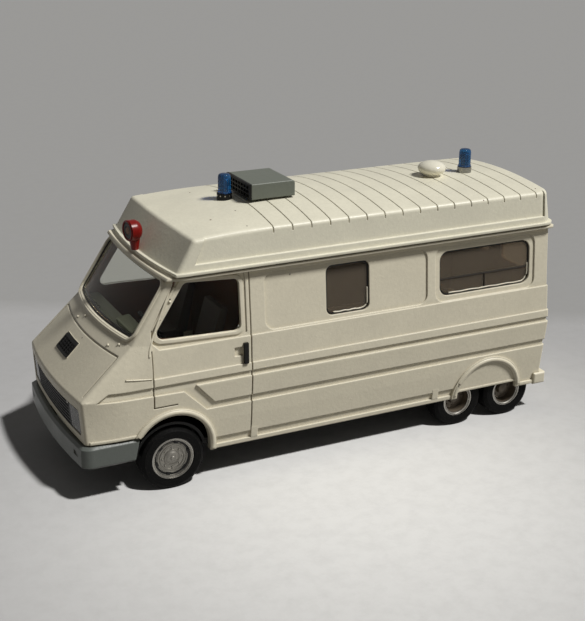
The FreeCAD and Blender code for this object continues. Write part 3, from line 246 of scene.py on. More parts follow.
def enamel_on_resin(name, code, roughness=0.4, dust_share=0.3, groove_shade_share=0.42, painted_inside_shade=False,
                    chip_share=0.75):
    """Brushed enamel over cast resin: satin, a little mottled, soft at its edges, with painted shade in the
    grooves.

    With the inside flag set, the inner half of the body's walls is painted dark brown as shade, standing in
    for the unlit room behind the glass."""
    material, tree = new_material(name)
    place = where(tree)
    cloud = add(tree, "TexNoise", {"Vector": place, "Scale": per_mm(COAT_SPACING), "Detail": 4.0})
    tint = ramp(tree, cloud.outputs["Fac"], 0.3, 0.7)
    paint = blend_colours(tree, tint, shade(code, 0.94), shade(code, 1.0))
    mottle = add(tree, "TexNoise", {"Vector": place, "Scale": per_mm(MOTTLE_SPACING), "Detail": 3.0,
                                    "Roughness": 0.65})
    worn = ramp(tree, mottle.outputs["Fac"], 0.35, 0.65, 0.0, 0.35)
    paint = blend_colours(tree, worn, paint, shade(code, 0.82))
    # Painted shade: darker brown where ambient occlusion finds another face near, in grooves and recesses
    open_sky = add(tree, "AmbientOcclusion", {"Distance": GROOVE_SHADE_REACH * MM}, samples=8)
    groove_shade = ramp(tree, open_sky.outputs["AO"], 0.35, 0.8, groove_shade_share, 0.0)
    paint = blend_colours(tree, groove_shade, paint, linear(GROOVE_SHADE_COLOUR))
    sparse = add(tree, "TexVoronoi", {"Vector": place, "Scale": per_mm(CHIP_SPACING)})
    chip = ramp(tree, sparse.outputs["Distance"], 0.02, 0.03, chip_share, 0.0)
    paint = blend_colours(tree, chip, paint, linear(CHIPPED))
    # Painted shade: the inner half of the walls goes dark brown, standing in for the unlit room
    if painted_inside_shade:
        paint = blend_colours(tree, inside_shade_share(tree, place), paint, linear(INSIDE_SHADE_BROWN))
    dust = add(tree, "TexVoronoi", {"Vector": place, "Scale": per_mm(SPECK_SPACING)})
    speck = ramp(tree, dust.outputs["Distance"], 0.07, 0.15, 1.0, 0.0)
    round_edge = add(tree, "Bevel", {"Radius": PAINT_ROUND * MM}, samples=8)
    swell = add(tree, "Bump", {"Height": mottle.outputs["Fac"], "Strength": 0.8, "Distance": 0.06 * MM,
                               "Normal": round_edge.outputs[0]})
    bump = add(tree, "Bump", {"Height": speck, "Strength": dust_share, "Distance": 0.05 * MM,
                              "Normal": swell.outputs[0]})
    shine = ramp(tree, cloud.outputs["Fac"], 0.3, 0.7, roughness - 0.05, roughness + 0.08)
    shader = add(tree, "BsdfPrincipled", {"Base Color": paint, "Roughness": shine, "IOR": 1.5,
                                          "Normal": bump.outputs[0]})
    finish_material(tree, shader)
    return material


def moulded_plastic(name, code, roughness=0.45, grain_mm=0.5, depth_mm=0.02, gleam=0.5):
    """Injection-moulded styrene: even colour with a fine mould grain that breaks up its shine.

    The real grain is about 0.1 mm, and it is drawn coarser so that it shows."""
    material, tree = new_material(name)
    place = where(tree)
    grain = add(tree, "TexNoise", {"Vector": place, "Scale": per_mm(grain_mm), "Detail": 2.0})
    colour = blend_colours(tree, grain.outputs["Fac"], shade(code, 0.84), shade(code, 1.14))
    bump = add(tree, "Bump", {"Height": grain.outputs["Fac"], "Strength": 0.4, "Distance": depth_mm * MM})
    shader = add(tree, "BsdfPrincipled", {"Base Color": colour, "Roughness": roughness,
                                          "Specular IOR Level": gleam, "Normal": bump.outputs[0]})
    finish_material(tree, shader)
    return material


# The tyre's turned rings and its dust, in mm from one to the next
RING_SPACING = 0.5
DUST_SPACING = 0.6
SIDEWALL_DUST = "#3A3733"


def tyre_rubber(name, code):
    """Moulded vinyl tyre: near-black and dull, with turned rings and a little pale dust on the sidewall."""
    material, tree = new_material(name)
    place = where(tree)
    reach = wheel_radius(tree, place)
    rings = add(tree, "Math", {0: reach, 1: FULL_TURN / (RING_SPACING * MM)}, operation="MULTIPLY")
    wave = add(tree, "Math", {0: rings.outputs[0]}, operation="SINE")
    grain = add(tree, "TexNoise", {"Vector": place, "Scale": per_mm(DUST_SPACING), "Detail": 4.0})
    dust = ramp(tree, grain.outputs["Fac"], 0.52, 0.8, 0.0, 0.25)
    colour = blend_colours(tree, dust, linear(code), linear(SIDEWALL_DUST))
    turned_rings = add(tree, "Bump", {"Height": wave.outputs[0], "Strength": 0.35, "Distance": 0.03 * MM})
    bump = add(tree, "Bump", {"Height": grain.outputs["Fac"], "Strength": 0.3, "Distance": 0.03 * MM,
                              "Normal": turned_rings.outputs[0]})
    shader = add(tree, "BsdfPrincipled", {"Base Color": colour, "Roughness": 0.7, "Specular IOR Level": 0.12,
                                          "Normal": bump.outputs[0]})
    finish_material(tree, shader)
    return material


def acetate(name, code, haze=0.0, roughness=0.05):
    """Thin vacuum-formed acetate sheet: see-through with a slight ripple, and hazed where it is smoked."""
    material, tree = new_material(name)
    place = where(tree)
    ripple = add(tree, "TexNoise", {"Vector": place, "Scale": per_mm(5.0), "Detail": 1.0})
    bump = add(tree, "Bump", {"Height": ripple.outputs["Fac"], "Strength": 0.12, "Distance": 0.1 * MM})
    glass = add(tree, "BsdfPrincipled", {"Base Color": linear(code), "Roughness": roughness, "IOR": 1.15,
                                         "Specular IOR Level": 0.5, "Transmission Weight": 1.0 - haze,
                                         "Normal": bump.outputs[0]})
    finish_material(tree, sunlit_through(tree, glass, code))
    return material


def clear_acrylic(name, code, roughness=0.08):
    """Tinted clear plastic: what shows through it takes its colour, and its faces give sharp highlights."""
    material, tree = new_material(name)
    place = where(tree)
    flow = add(tree, "TexNoise", {"Vector": place, "Scale": per_mm(2.5), "Detail": 1.0})
    bump = add(tree, "Bump", {"Height": flow.outputs["Fac"], "Strength": 0.2, "Distance": 0.08 * MM})
    glass = add(tree, "BsdfPrincipled", {"Base Color": linear(code), "Roughness": roughness, "IOR": 1.49,
                                         "Transmission Weight": 0.75, "Normal": bump.outputs[0]})
    finish_material(tree, sunlit_through(tree, glass, code))
    return material


# The real flake is about 0.05 mm, drawn coarser so that it shows, and the dish's edge is this soft, in mm
FLAKE_SPACING = 0.25
DISH_EDGE = 0.15
# The grey brown painted as shade inside the rear wheels' deep dish
DISH_SHADE_BROWN = "#6A6053"


def silver_paint(name, code, roughness=0.38, dish=None):
    """Aluminium-flake paint: a grainy metal gleam.

    dish is a radius in mm inside which a dull grey brown is painted as the shade of the deep dish."""
    material, tree = new_material(name)
    place = where(tree)
    flake = add(tree, "TexVoronoi", {"Vector": place, "Scale": per_mm(FLAKE_SPACING)})
    spread = ramp(tree, flake.outputs["Distance"], 0.0, 0.8, roughness - 0.1, roughness + 0.15)
    colour = blend_colours(tree, flake.outputs["Distance"], shade(code, 1.1), shade(code, 0.72))
    if dish:
        # Painted shade: the deep dish's inside goes dull grey brown
        inside = ramp(tree, wheel_radius(tree, place), (dish - DISH_EDGE) * MM, dish * MM, 1.0, 0.0)
        colour = blend_colours(tree, inside, colour, linear(DISH_SHADE_BROWN))
    grain = add(tree, "TexNoise", {"Vector": place, "Scale": per_mm(0.5), "Detail": 3.0})
    bump = add(tree, "Bump", {"Height": grain.outputs["Fac"], "Strength": 0.5, "Distance": 0.05 * MM})
    metal = 0.25 if dish else 0.85
    shader = add(tree, "BsdfPrincipled", {"Base Color": colour, "Metallic": metal, "Roughness": spread,
                                          "Normal": bump.outputs[0]})
    finish_material(tree, shader)
    return material


def plated(name, code, roughness=0.14):
    """Vacuum-plated styrene: a bright mirror, slightly dimpled where the plastic sank."""
    material, tree = new_material(name)
    dimple = add(tree, "TexNoise", {"Vector": where(tree), "Scale": per_mm(0.9), "Detail": 2.0})
    bump = add(tree, "Bump", {"Height": dimple.outputs["Fac"], "Strength": 0.35, "Distance": 0.04 * MM})
    shine = ramp(tree, dimple.outputs["Fac"], 0.3, 0.7, roughness, roughness + 0.12)
    shader = add(tree, "BsdfPrincipled", {"Base Color": linear(code), "Metallic": 1.0, "Roughness": shine,
                                          "Normal": bump.outputs[0]})
    finish_material(tree, shader)
    return material


# The headlamp's flutes and the patches of painted glint on its foil, in mm from one to the next
FLUTE_SPACING = 0.85
GLINT_PATCH_SPACING = 1.6
REFLECTOR_BLACK = "#070707"
FOIL_GLINT_GREY = "#8E8F88"


def fluted_lens(name):
    """Moulded headlamp glass over foil: a dark reflector with bright bars of painted glint along its upright
    flutes.
    """
    material, tree = new_material(name)
    place = where(tree)
    apart = add(tree, "SeparateXYZ", {"Vector": place})
    phase = add(tree, "Math", {0: apart.outputs["Y"], 1: FULL_TURN / (FLUTE_SPACING * MM)},
                operation="MULTIPLY")
    flute = add(tree, "Math", {0: phase.outputs[0]}, operation="SINE")
    patch = add(tree, "TexNoise", {"Vector": place, "Scale": per_mm(GLINT_PATCH_SPACING), "Detail": 1.0})
    bars = add(tree, "Math", {0: flute.outputs[0], 1: patch.outputs["Fac"]}, operation="MULTIPLY")
    # Painted glint: pale grey bars along the flutes stand in for the foil's reflection
    glint = ramp(tree, bars.outputs[0], 0.3, 0.66)
    colour = blend_colours(tree, glint, linear(REFLECTOR_BLACK), linear(FOIL_GLINT_GREY))
    bump = add(tree, "Bump", {"Height": flute.outputs[0], "Strength": 0.6, "Distance": 0.1 * MM})
    shader = add(tree, "BsdfPrincipled", {"Base Color": colour, "Metallic": 0.35, "Roughness": 0.2,
                                          "Coat Weight": 0.4, "Coat Roughness": 0.06,
                                          "Normal": bump.outputs[0]})
    finish_material(tree, shader)
    return material


# The model's finishes, each named for what the real one is
BODY_COLOUR = "#EAE3CD"
WHITE = enamel_on_resin("warm_white_enamel", BODY_COLOUR, painted_inside_shade=True)
BEAD_WHITE = enamel_on_resin("unchipped_white_enamel", BODY_COLOUR, chip_share=0.0)
ROOF_WHITE = enamel_on_resin("roof_white_enamel", "#ECE8D4", 0.42, groove_shade_share=0.12)
GLOSS_WHITE = enamel_on_resin("gloss_white_enamel", "#EFEBDA", 0.16, dust_share=0.1)
BUMPER_GREY = enamel_on_resin("grey_bumper_enamel", "#5F6460", 0.38)
SIREN_GREY = enamel_on_resin("grey_siren_enamel", "#6C7168", 0.42)
BLACK = moulded_plastic("black_styrene", "#0B0B0B", 0.5, gleam=0.25)
SATIN_BLACK = moulded_plastic("satin_black_paint", "#060606", 0.35, gleam=0.3)
BROWN = moulded_plastic("dark_brown_styrene", "#553011", 0.55)
GREY_GREEN = moulded_plastic("grey_green_styrene", "#7A7E6A", 0.45)
RUBBER = tyre_rubber("black_vinyl_tyre", "#060606")
RED = moulded_plastic("red_styrene", "#790D09", 0.3, grain_mm=0.8, depth_mm=0.03, gleam=0.3)
BLUE = clear_acrylic("blue_acrylic", "#2468A6")
CLEAR = acetate("clear_acetate", "#F4F5F0")
SMOKED = acetate("smoked_acetate", "#B3A898", haze=0.15, roughness=0.1)
RAIL_BROWN = moulded_plastic("rail_brown_styrene", "#150D08", 0.5, gleam=0.25)
SEAT_BROWN = moulded_plastic("seat_brown_styrene", "#33291F", 0.55)
LENS = fluted_lens("fluted_headlamp_glass")
LAMP_GLASS = silver_paint("stippled_lamp_glass", "#80675B", 0.3)
SILVER = silver_paint("silver_wheel_paint", "#908D86", 0.4)
DARK_DISH = silver_paint("shaded_wheel_dish", "#A5A199", 0.3, dish=REAR_RIM_RADIUS - 0.75)
STEEL = silver_paint("drawn_steel_rod", "#8E8E8C", 0.35)
# Pale bead on the side glass: a painted highlight where the glass's edge catches the light
HIGHLIGHT_BEAD = enamel_on_resin("painted_highlight_bead", "#E2DCC8", 0.3, groove_shade_share=0.0)
PLATED = plated("bright_plating", "#A9A6A0", 0.2)
DARK_PLATED = plated("dark_plating", "#8C8C8A", 0.16)

# The finish of each slot, and of the nodes that differ from the rest of their slot
SLOT_LOOKS = {
    "shell_white": WHITE, "bumper_grey": BUMPER_GREY, "siren_grey": SIREN_GREY, "dark_trim": BLACK,
    "base_black": BLACK, "interior_brown": BROWN, "interior_green": GREY_GREEN, "tyre_rubber": RUBBER,
    "lamp_red": RED, "blue_lens": BLUE, "clear_glazing": CLEAR, "smoked_glazing": SMOKED,
    "lamp_clear": LENS, "wheel_silver": SILVER, "steel_rod": STEEL, "bright_metal": DARK_PLATED,
}
NODE_LOOKS = {
    "roof_cap": ROOF_WHITE, "roof_vent": GLOSS_WHITE, "cab_seats": SEAT_BROWN,
    "front_lamp_lens": LAMP_GLASS, "window_rails": RAIL_BROWN,
    "middle_rim_left": DARK_DISH, "middle_rim_right": DARK_DISH,
    "rear_rim_left": DARK_DISH, "rear_rim_right": DARK_DISH,
}


def dress_frame():
    """Gives every CAD node the finish of its slot, or its own where the slot has several."""
    for part in frame["record"]["subparts"]:
        piece = nodes[part["node"]]
        piece.data.materials.clear()
        piece.data.materials.append(NODE_LOOKS.get(part["node"], SLOT_LOOKS[part["material_slot"]]))


dress_frame()


def new_piece(name, shape, material, body="body"):
    """A finished shape as a smooth-shaded piece that rides on a body."""
    bmesh.ops.remove_doubles(shape, verts=shape.verts, dist=WELD * MM)
    bmesh.ops.recalc_face_normals(shape, faces=shape.faces)
    data = bpy.data.meshes.new(name)
    shape.to_mesh(data)
    shape.free()
    piece = bpy.data.objects.new(name, data)
    bpy.context.scene.collection.objects.link(piece)
    data.materials.append(material)
    data.shade_smooth()
    data.set_sharp_from_angle(angle=SHARP_ANGLE)
    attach(piece, body)
    return piece


def turned(shape, profile, place, steps=48, flutes=0, flute_depth=0.0):
    """Turns a profile of (radius, height) in mm about the local Z axis.

    With flutes, the wall draws in by up to flute_depth between as many ribs."""
    rings = []
    for radius, height in profile:
        ring = []
        for step in range(steps):
            angle = FULL_TURN * step / steps
            reach = radius
            if flutes:
                reach -= flute_depth * (1 - abs(math.cos(flutes * angle / 2)))
            ring.append(shape.verts.new(place @ Vector((reach * math.cos(angle), reach * math.sin(angle),
                                                        height)) * MM))
        rings.append(ring)
    for low, high in zip(rings, rings[1:]):
        for step in range(steps):
            after = (step + 1) % steps
            shape.faces.new((low[step], low[after], high[after], high[step]))


def ring_profile(radius, height, thick, tall, corners=8):
    """Closed oval section for a ring, in mm: radius and height of its middle, thick across and tall up."""
    turns = [FULL_TURN * step / corners for step in range(corners + 1)]
    return [(radius + thick / 2 * math.cos(turn), height + tall / 2 * math.sin(turn)) for turn in turns]


def rings_on(shape, rings, place, steps=48, corners=8):
    """Rings round the local Z axis, each given by its middle's radius and height, its width and its depth."""
    for ring in rings:
        turned(shape, ring_profile(*ring, corners), place, steps)


def bolt_circle(shape, profile, count, reach, place):
    """The same turned bolt head at equal steps round the local Z axis, at a reach in mm from it."""
    for step in range(count):
        angle = FULL_TURN * step / count
        middle = Matrix.Translation((reach * math.cos(angle), reach * math.sin(angle), 0))
        turned(shape, profile, place @ middle, steps=10)


def wheel_face(station, height, face, side):
    """Place of a wheel's outer face: local Z points out of it and the origin is on the axle."""
    out = Vector((0, side, 0))
    across = Vector((1, 0, 0))
    turn = Matrix((across, out.cross(across), out)).transposed().to_4x4()
    return Matrix.Translation((station, side * face, height)) @ turn


def facing(centre, direction, upward=(0, 0, 1)):
    """Place at centre, in mm, with local Z along direction and local Y upward."""
    out = Vector(direction).normalized()
    across = Vector(upward).cross(out).normalized()
    return Matrix.Translation(centre) @ Matrix((across, out.cross(across), out)).transposed().to_4x4()


def block(shape, size, place, edge=0.08):
    """Box with rounded edges, its size in mm and its middle at the place's origin."""
    made = bmesh.ops.create_cube(shape, size=1.0)
    for vert in made["verts"]:
        vert.co = Vector(v * s for v, s in zip(vert.co, size))
    edges = list(dict.fromkeys(link for vert in made["verts"] for link in vert.link_edges))
    result = bmesh.ops.bevel(shape, geom=edges, offset=edge, segments=2, affect="EDGES", profile=0.5)
    for vert in set(made["verts"]) | set(result["verts"]):
        if vert.is_valid:
            vert.co = place @ vert.co * MM


def surface_of(name):
    """A CAD node's faces, for lines of sight to meet."""
    data = nodes[name].data
    return BVHTree.FromPolygons([vert.co for vert in data.vertices],
                                [face.vertices for face in data.polygons])


def seen_on(surface, start, direction):
    """Where a line from start, in mm, first meets a surface, with its outward direction."""
    spot, normal, _, _ = surface.ray_cast(Vector(start) * MM, Vector(direction).normalized())
    if spot is None:
        return None
    if normal.dot(Vector(direction)) > 0:
        normal = -normal
    return spot / MM, normal


def rod(shape, points, radius, sides=8):
    """Round rod through points in mm, closed at both ends."""
    points = [Vector(point) for point in points]
    rings = []
    for index, point in enumerate(points):
        before = points[max(index - 1, 0)]
        after = points[min(index + 1, len(points) - 1)]
        along = (after - before).normalized()
        guide = Vector((0, 0, 1)) if abs(along.z) < 0.9 else Vector((1, 0, 0))
        across = along.cross(guide).normalized()
        other = along.cross(across)
        rings.append([shape.verts.new((point + radius * (math.cos(FULL_TURN * step / sides) * across
                                                          + math.sin(FULL_TURN * step / sides) * other)) * MM)
                      for step in range(sides)])
    for low, high in zip(rings, rings[1:]):
        for step in range(sides):
            after = (step + 1) % sides
            shape.faces.new((low[step], low[after], high[after], high[step]))
    shape.faces.new(rings[0])
    shape.faces.new(rings[-1])


SHELL = surface_of("body_shell")
ROOF = surface_of("roof_cap")


# The details of a front wheel, in mm, with heights counted outwards from the wheel's face. Each ring has
# its middle's radius and height, its width and its depth; each profile has radii and heights
FRONT_LIP_RINGS = ((FRONT_RIM_RADIUS - 0.28, -0.3, 0.42, 0.5), (FRONT_RIM_RADIUS - 0.72, -0.42, 0.2, 0.3))
FRONT_GAP_RING = (FRONT_RIM_RADIUS - 1.12, -0.98, 0.7, 0.34)
FRONT_FACE_RINGS = tuple((radius, -0.86, width, 0.34)
                         for radius, width in ((3.72, 0.3), (3.05, 0.34), (1.9, 0.3), (1.25, 0.2)))
NOTCHES = 6
NOTCH_SIZE = (0.8, 1.1, 0.5)
NOTCH_MIDDLE = (FRONT_RIM_RADIUS - 1.32, 0, -0.9)
FRONT_BOLT = ((0.0, -0.62), (0.16, -0.64), (0.24, -0.74), (0.26, -0.92))
FRONT_BOLT_REACH = 2.52
FRONT_CAP = ((0.0, -0.1), (0.45, -0.12), (0.6, -0.24), (0.62, -0.35))
# The same for a rear wheel, with its bolts deep in the dish
REAR_RINGS = ((REAR_RIM_RADIUS - 0.3, -0.3, 0.5, 0.4), (REAR_RIM_RADIUS - 0.82, -0.62, 0.24, 0.3))
REAR_HUB_RING = (1.35, -1.62, 0.2, 0.16)
REAR_BOLT = ((0.0, -2.35), (0.16, -2.37), (0.22, -2.65))
REAR_BOLT_REACH = 2.4
BOLTS = 8
# Two ribs on a tyre's sidewall: the inner one's distance from the rim, how far across the sidewall the outer
# one runs, as a share, and each one's height, width and depth
INNER_RIB_OUT = 0.35
OUTER_RIB_SHARE = 0.62
INNER_RIB = (-0.12, 0.3, 0.24)
OUTER_RIB = (-0.16, 0.18, 0.2)


def dress_front_wheels():
    """Polished lip, dark notched gap, and silver face with ridges, bolts and cap on each front wheel."""
    _, station, height, face, body = AXLES[0]
    for word, side in SIDES:
        place = wheel_face(station, height, face, side)
        lip = bmesh.new()
        rings_on(lip, FRONT_LIP_RINGS, place)
        new_piece("front_wheel_lip_" + word, lip, PLATED, body)
        gap = bmesh.new()
        rings_on(gap, (FRONT_GAP_RING,), place)
        for step in range(NOTCHES):
            turn = Matrix.Rotation(FULL_TURN * (step + 0.25) / NOTCHES, 4, "Z")
            block(gap, NOTCH_SIZE, place @ turn @ Matrix.Translation(NOTCH_MIDDLE))
        new_piece("front_wheel_notches_" + word, gap, SATIN_BLACK, body)
        face_detail = bmesh.new()
        rings_on(face_detail, FRONT_FACE_RINGS, place)
        bolt_circle(face_detail, FRONT_BOLT, BOLTS, FRONT_BOLT_REACH, place)
        turned(face_detail, FRONT_CAP, place, steps=24)
        new_piece("front_wheel_face_" + word, face_detail, SILVER, body)


def dress_rear_wheels():
    """Two polished rings round a deep dull dish, with a hub ring and bolts, on each rear wheel."""
    for name, station, height, face, body in AXLES[1:]:
        for word, side in SIDES:
            place = wheel_face(station, height, face, side)
            rings = bmesh.new()
            rings_on(rings, REAR_RINGS, place)
            new_piece("%s_wheel_rings_%s" % (name, word), rings, PLATED, body)
            hub = bmesh.new()
            rings_on(hub, (REAR_HUB_RING,), place, steps=32)
            bolt_circle(hub, REAR_BOLT, BOLTS, REAR_BOLT_REACH, place)
            new_piece("%s_wheel_hub_%s" % (name, word), hub, DARK_DISH, body)


def dress_tyres():
    """Two slim moulded ribs round each sidewall."""
    for name, station, height, face, body in AXLES:
        rim = FRONT_RIM_RADIUS if name == "front" else REAR_RIM_RADIUS
        tyre = FRONT_TYRE_RADIUS if name == "front" else REAR_TYRE_RADIUS
        for word, side in SIDES:
            ribs = bmesh.new()
            rings = ((rim + INNER_RIB_OUT, *INNER_RIB), (rim + OUTER_RIB_SHARE * (tyre - rim), *OUTER_RIB))
            rings_on(ribs, rings, wheel_face(station, height, face, side), corners=6)
            new_piece("%s_tyre_ribs_%s" % (name, word), ribs, RUBBER, body)


dress_front_wheels()
dress_rear_wheels()
dress_tyres()

# The lamp over the windscreen faces forwards, turned a little to the left. Profiles and rings are in mm,
# with heights counted from a face just ahead of its lens
LAMP_TURN = math.radians(8)
LAMP_LENS_MIDDLE = Vector((-43.9, 0.17, 59.0))
LAMP_FACE_AHEAD = 0.12
LAMP_BEZEL = ((1.98, -0.2), (1.98, 0.28), (1.8, 0.34), (1.15, 0.3), (1.0, 0.2), (0.98, -0.2))
LAMP_DOME = ((1.0, 0.14), (0.85, 0.28), (0.55, 0.38), (0.2, 0.43), (0.0, 0.44))
LAMP_DOME_RINGS = ((0.45, 0.42, 0.12, 0.12), (0.8, 0.34, 0.12, 0.12))
LAMP_RIM_RING = (2.3, 0.32, 0.5, 0.42)


def dress_front_lamp():
    """Dark bezel round a small domed, ringed glass, and the rolled rim of the red bowl."""
    ahead = Vector((-math.cos(LAMP_TURN), -math.sin(LAMP_TURN), 0))
    place = facing(LAMP_LENS_MIDDLE + LAMP_FACE_AHEAD * ahead, ahead)
    bezel = bmesh.new()
    turned(bezel, LAMP_BEZEL, place)
    new_piece("front_lamp_bezel", bezel, SATIN_BLACK)
    glass = bmesh.new()
    turned(glass, LAMP_DOME, place, steps=32)
    rings_on(glass, LAMP_DOME_RINGS, place, steps=32, corners=6)
    new_piece("front_lamp_glass", glass, LAMP_GLASS)
    rim = bmesh.new()
    rings_on(rim, (LAMP_RIM_RING,), place)
    new_piece("front_lamp_rim", rim, RED)


dress_front_lamp()

# Beacons: the foot of each lens and its height, in mm, and the finish and slot of its collar
BEACONS = (
    ("front", Vector((-19.05, 0, 65.7)), 4.89, SATIN_BLACK, "dark_trim"),
    ("rear", Vector((51.35, 0, 65.4)), 4.89, PLATED, "bright_metal"),
)
# Profiles, rings and sizes in mm, with heights counted from the lens's foot
BEACON_RADIUS = 1.75
BEACON_FLUTES = 12
FLUTE_DEPTH = 0.1
BULB = ((0.0, 0.3), (0.7, 0.3), (0.7, 1.5), (0.95, 1.8), (0.95, 3.2), (0.6, 3.7), (0.0, 3.9))
COLLAR_RINGS = ((BEACON_RADIUS + 0.02, -0.2, 0.28, 0.3), (BEACON_RADIUS + 0.06, -0.85, 0.2, 0.22))
STUDS = 10
STUD_SIZE = (0.35, 0.35, 0.14)
STUD_REACH = 1.86
STUD_HEIGHT = -0.52


def beacon_profile(tall):
    """A beacon lens's wall from the middle of its foot, up over a step and round its shoulder, in mm."""
    radius = BEACON_RADIUS
    return ((0.0, 0.02), (radius - 0.1, 0.02), (radius, 0.15), (radius, 0.45), (radius - 0.13, 0.55),
            (radius - 0.16, tall - 1.0), (radius - 0.26, tall - 0.45), (radius - 0.55, tall - 0.14),
            (radius - 0.95, tall - 0.03), (0.0, tall))


def dress_beacons():
    """A fluted blue lens over a bright bulb, with two collar rings and a row of studs round its foot."""
    for name, foot, tall, collar_look, collar_slot in BEACONS:
        place = Matrix.Translation(foot)
        lens = bmesh.new()
        turned(lens, beacon_profile(tall), place, steps=72, flutes=BEACON_FLUTES, flute_depth=FLUTE_DEPTH)
        piece = new_piece(name + "_beacon_fluted_lens", lens, BLUE)
        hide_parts(name + "_beacon_lens")
        bulb = bmesh.new()
        turned(bulb, BULB, place, steps=24)
        new_piece(name + "_beacon_bulb", bulb, PLATED)
        collar = bmesh.new()
        rings_on(collar, COLLAR_RINGS, place)
        new_piece(name + "_beacon_collar", collar, collar_look)
        studs = bmesh.new()
        for step in range(STUDS):
            angle = FULL_TURN * step / STUDS
            out = Vector((math.cos(angle), math.sin(angle), 0))
            middle = foot + STUD_REACH * out + Vector((0, 0, STUD_HEIGHT))
            block(studs, STUD_SIZE, facing(middle, out), edge=0.05)
        new_piece(name + "_beacon_studs", studs, PLATED)


dress_beacons()

# Spots on the scuttle and pillars where the wipers and mirrors would be fixed, in mm, with the way each
# faces and how far its pin hole is from it
SCUTTLE_PIPS = ((-55.45, 7.7, 36.24), (-54.51, 4.35, 37.42), (-54.69, -13.6, 36.26), (-53.02, -16.8, 37.27))
SCUTTLE_OUT = Vector((-0.7, 0.0, 0.71))
SCUTTLE_HOLE_APART = Vector((-0.3, -0.52, 0))
MIRROR_PIP = (-41.89, 21.08, 47.46)
MIRROR_OUT = (-0.24, 0.95, 0.18)
MIRROR_HOLE_APART = Vector((0.1, 0, 0.55))
PIP = ((0.0, 0.34), (0.18, 0.31), (0.32, 0.18), (0.38, -0.1))
# A pin hole drawn as a flat black disc: painted shade, with no hole cut
PIN_HOLE = ((0.0, 0.05), (0.14, 0.05), (0.22, -0.05))
# How far out of such a spot the skin is looked for, in mm
SEEK_FROM = 6


def dress_pips():
    """Small white pips, each with a flat black disc beside it as the painted shade of a pin hole."""
    pips = bmesh.new()
    holes = bmesh.new()
    spots = [(spot, SCUTTLE_OUT, SCUTTLE_HOLE_APART) for spot in SCUTTLE_PIPS]
    for _, side in SIDES:
        x, y, z = MIRROR_PIP
        out = Vector((MIRROR_OUT[0], side * MIRROR_OUT[1], MIRROR_OUT[2]))
        spots.append(((x, side * y, z), out, MIRROR_HOLE_APART))
    for spot, out, apart in spots:
        start = Vector(spot) + SEEK_FROM * out.normalized()
        turned(pips, PIP, facing(*seen_on(SHELL, start, -out)), steps=16)
        turned(holes, PIN_HOLE, facing(*seen_on(SHELL, start + apart, -out)), steps=12)
    new_piece("fixing_pips", pips, WHITE)
    new_piece("fixing_pin_hole_shades", holes, BLACK)


dress_pips()

# The drip rail in the groove beside each windscreen pillar, from the gutter down, and a second rail behind
# it against the door frame, both on the right-hand side, with their radii, in mm
PILLAR_RAIL = ((-41.2, 20.72, 51.6), (-43.7, 21.2, 46.0), (-46.4, 21.74, 40.0), (-46.75, 21.95, 39.2),
               (-47.2, 22.2, 38.0), (-47.55, 22.42, 37.0), (-47.75, 22.64, 36.0), (-47.85, 22.78, 35.3))
PILLAR_SEAL = ((-40.6, 20.68, 50.7), (-42.42, 20.93, 47.84), (-44.53, 21.08, 44.57), (-46.62, 21.22, 41.3),
               (-47.35, 21.42, 39.6))
PILLAR_RAIL_RADIUS = 0.27
PILLAR_SEAL_RADIUS = 0.31


def dress_pillars():
    """Two round rails down each windscreen pillar, the outer one to below the door window."""
    for word, side in SIDES:
        rail = bmesh.new()
        for points, radius in ((PILLAR_RAIL, PILLAR_RAIL_RADIUS), (PILLAR_SEAL, PILLAR_SEAL_RADIUS)):
            rod(rail, [(x, side * y, z) for x, y, z in points], radius)
        new_piece("pillar_drip_rail_" + word, rail, BEAD_WHITE)


dress_pillars()

# The windscreen opening, in mm: half its width at the bottom, how much narrower it is at the top, its
# lower and upper edge and its corner radius
SCREEN_HALF = 19.6
SCREEN_TAPER = 0.3
SCREEN_LOW = 39.2
SCREEN_HIGH = 51.9
SCREEN_RADIUS = 1.6
SCREEN_STEP = 1.5
CORNER_STEPS = 6
# The raised bead round it and the seal on its glass, in mm: how far out from the opening's edge each runs,
# how deep its middle is in the skin, and its radius
BEAD_OUT = 0.45
BEAD_SUNK = 0.16
BEAD_RADIUS = 0.34
SEAL_OUT = -0.22
SEAL_RADIUS = 0.2
# The dark strip of painted shade on the ledge behind the foot of the glass, in mm: its place at the middle,
# how fast it bends back to the sides, how far it reaches across, how far it is below the opening, and its
# radius
LEDGE_MIDDLE = -51.75
LEDGE_CROWN = 0.0055
LEDGE_HALF = 18.5
LEDGE_DROP = 0.05
LEDGE_RADIUS = 0.36


def screen_path(surface, out, sunk):
    """Points in mm round the windscreen opening, out from its edge and sunk below a surface."""
    corner = SCREEN_RADIUS + out
    path = []
    quarters = ((1, SCREEN_HIGH, 0), (-1, SCREEN_HIGH, 1), (-1, SCREEN_LOW, 2), (1, SCREEN_LOW, 3))
    for side, height, quarter in quarters:
        half = SCREEN_HALF - (SCREEN_TAPER if height == SCREEN_HIGH else 0)
        up = 1 if height == SCREEN_HIGH else -1
        middle = (side * (half + out - corner), height + up * (out - corner))
        for step in range(CORNER_STEPS + 1):
            turn = math.pi / 2 * (quarter + step / CORNER_STEPS)
            path.append((middle[0] + corner * math.cos(turn), middle[1] + corner * math.sin(turn)))
    points = []
    for (y0, z0), (y1, z1) in zip(path, path[1:] + path[:1]):
        count = max(1, round(math.hypot(y1 - y0, z1 - z0) / SCREEN_STEP))
        for step in range(count):
            y = y0 + (y1 - y0) * step / count
            z = z0 + (z1 - z0) * step / count
            found, normal = seen_on(surface, (IN_FRONT, y, z), BACKWARDS)
            points.append(found - sunk * normal)
    return points + points[:1]


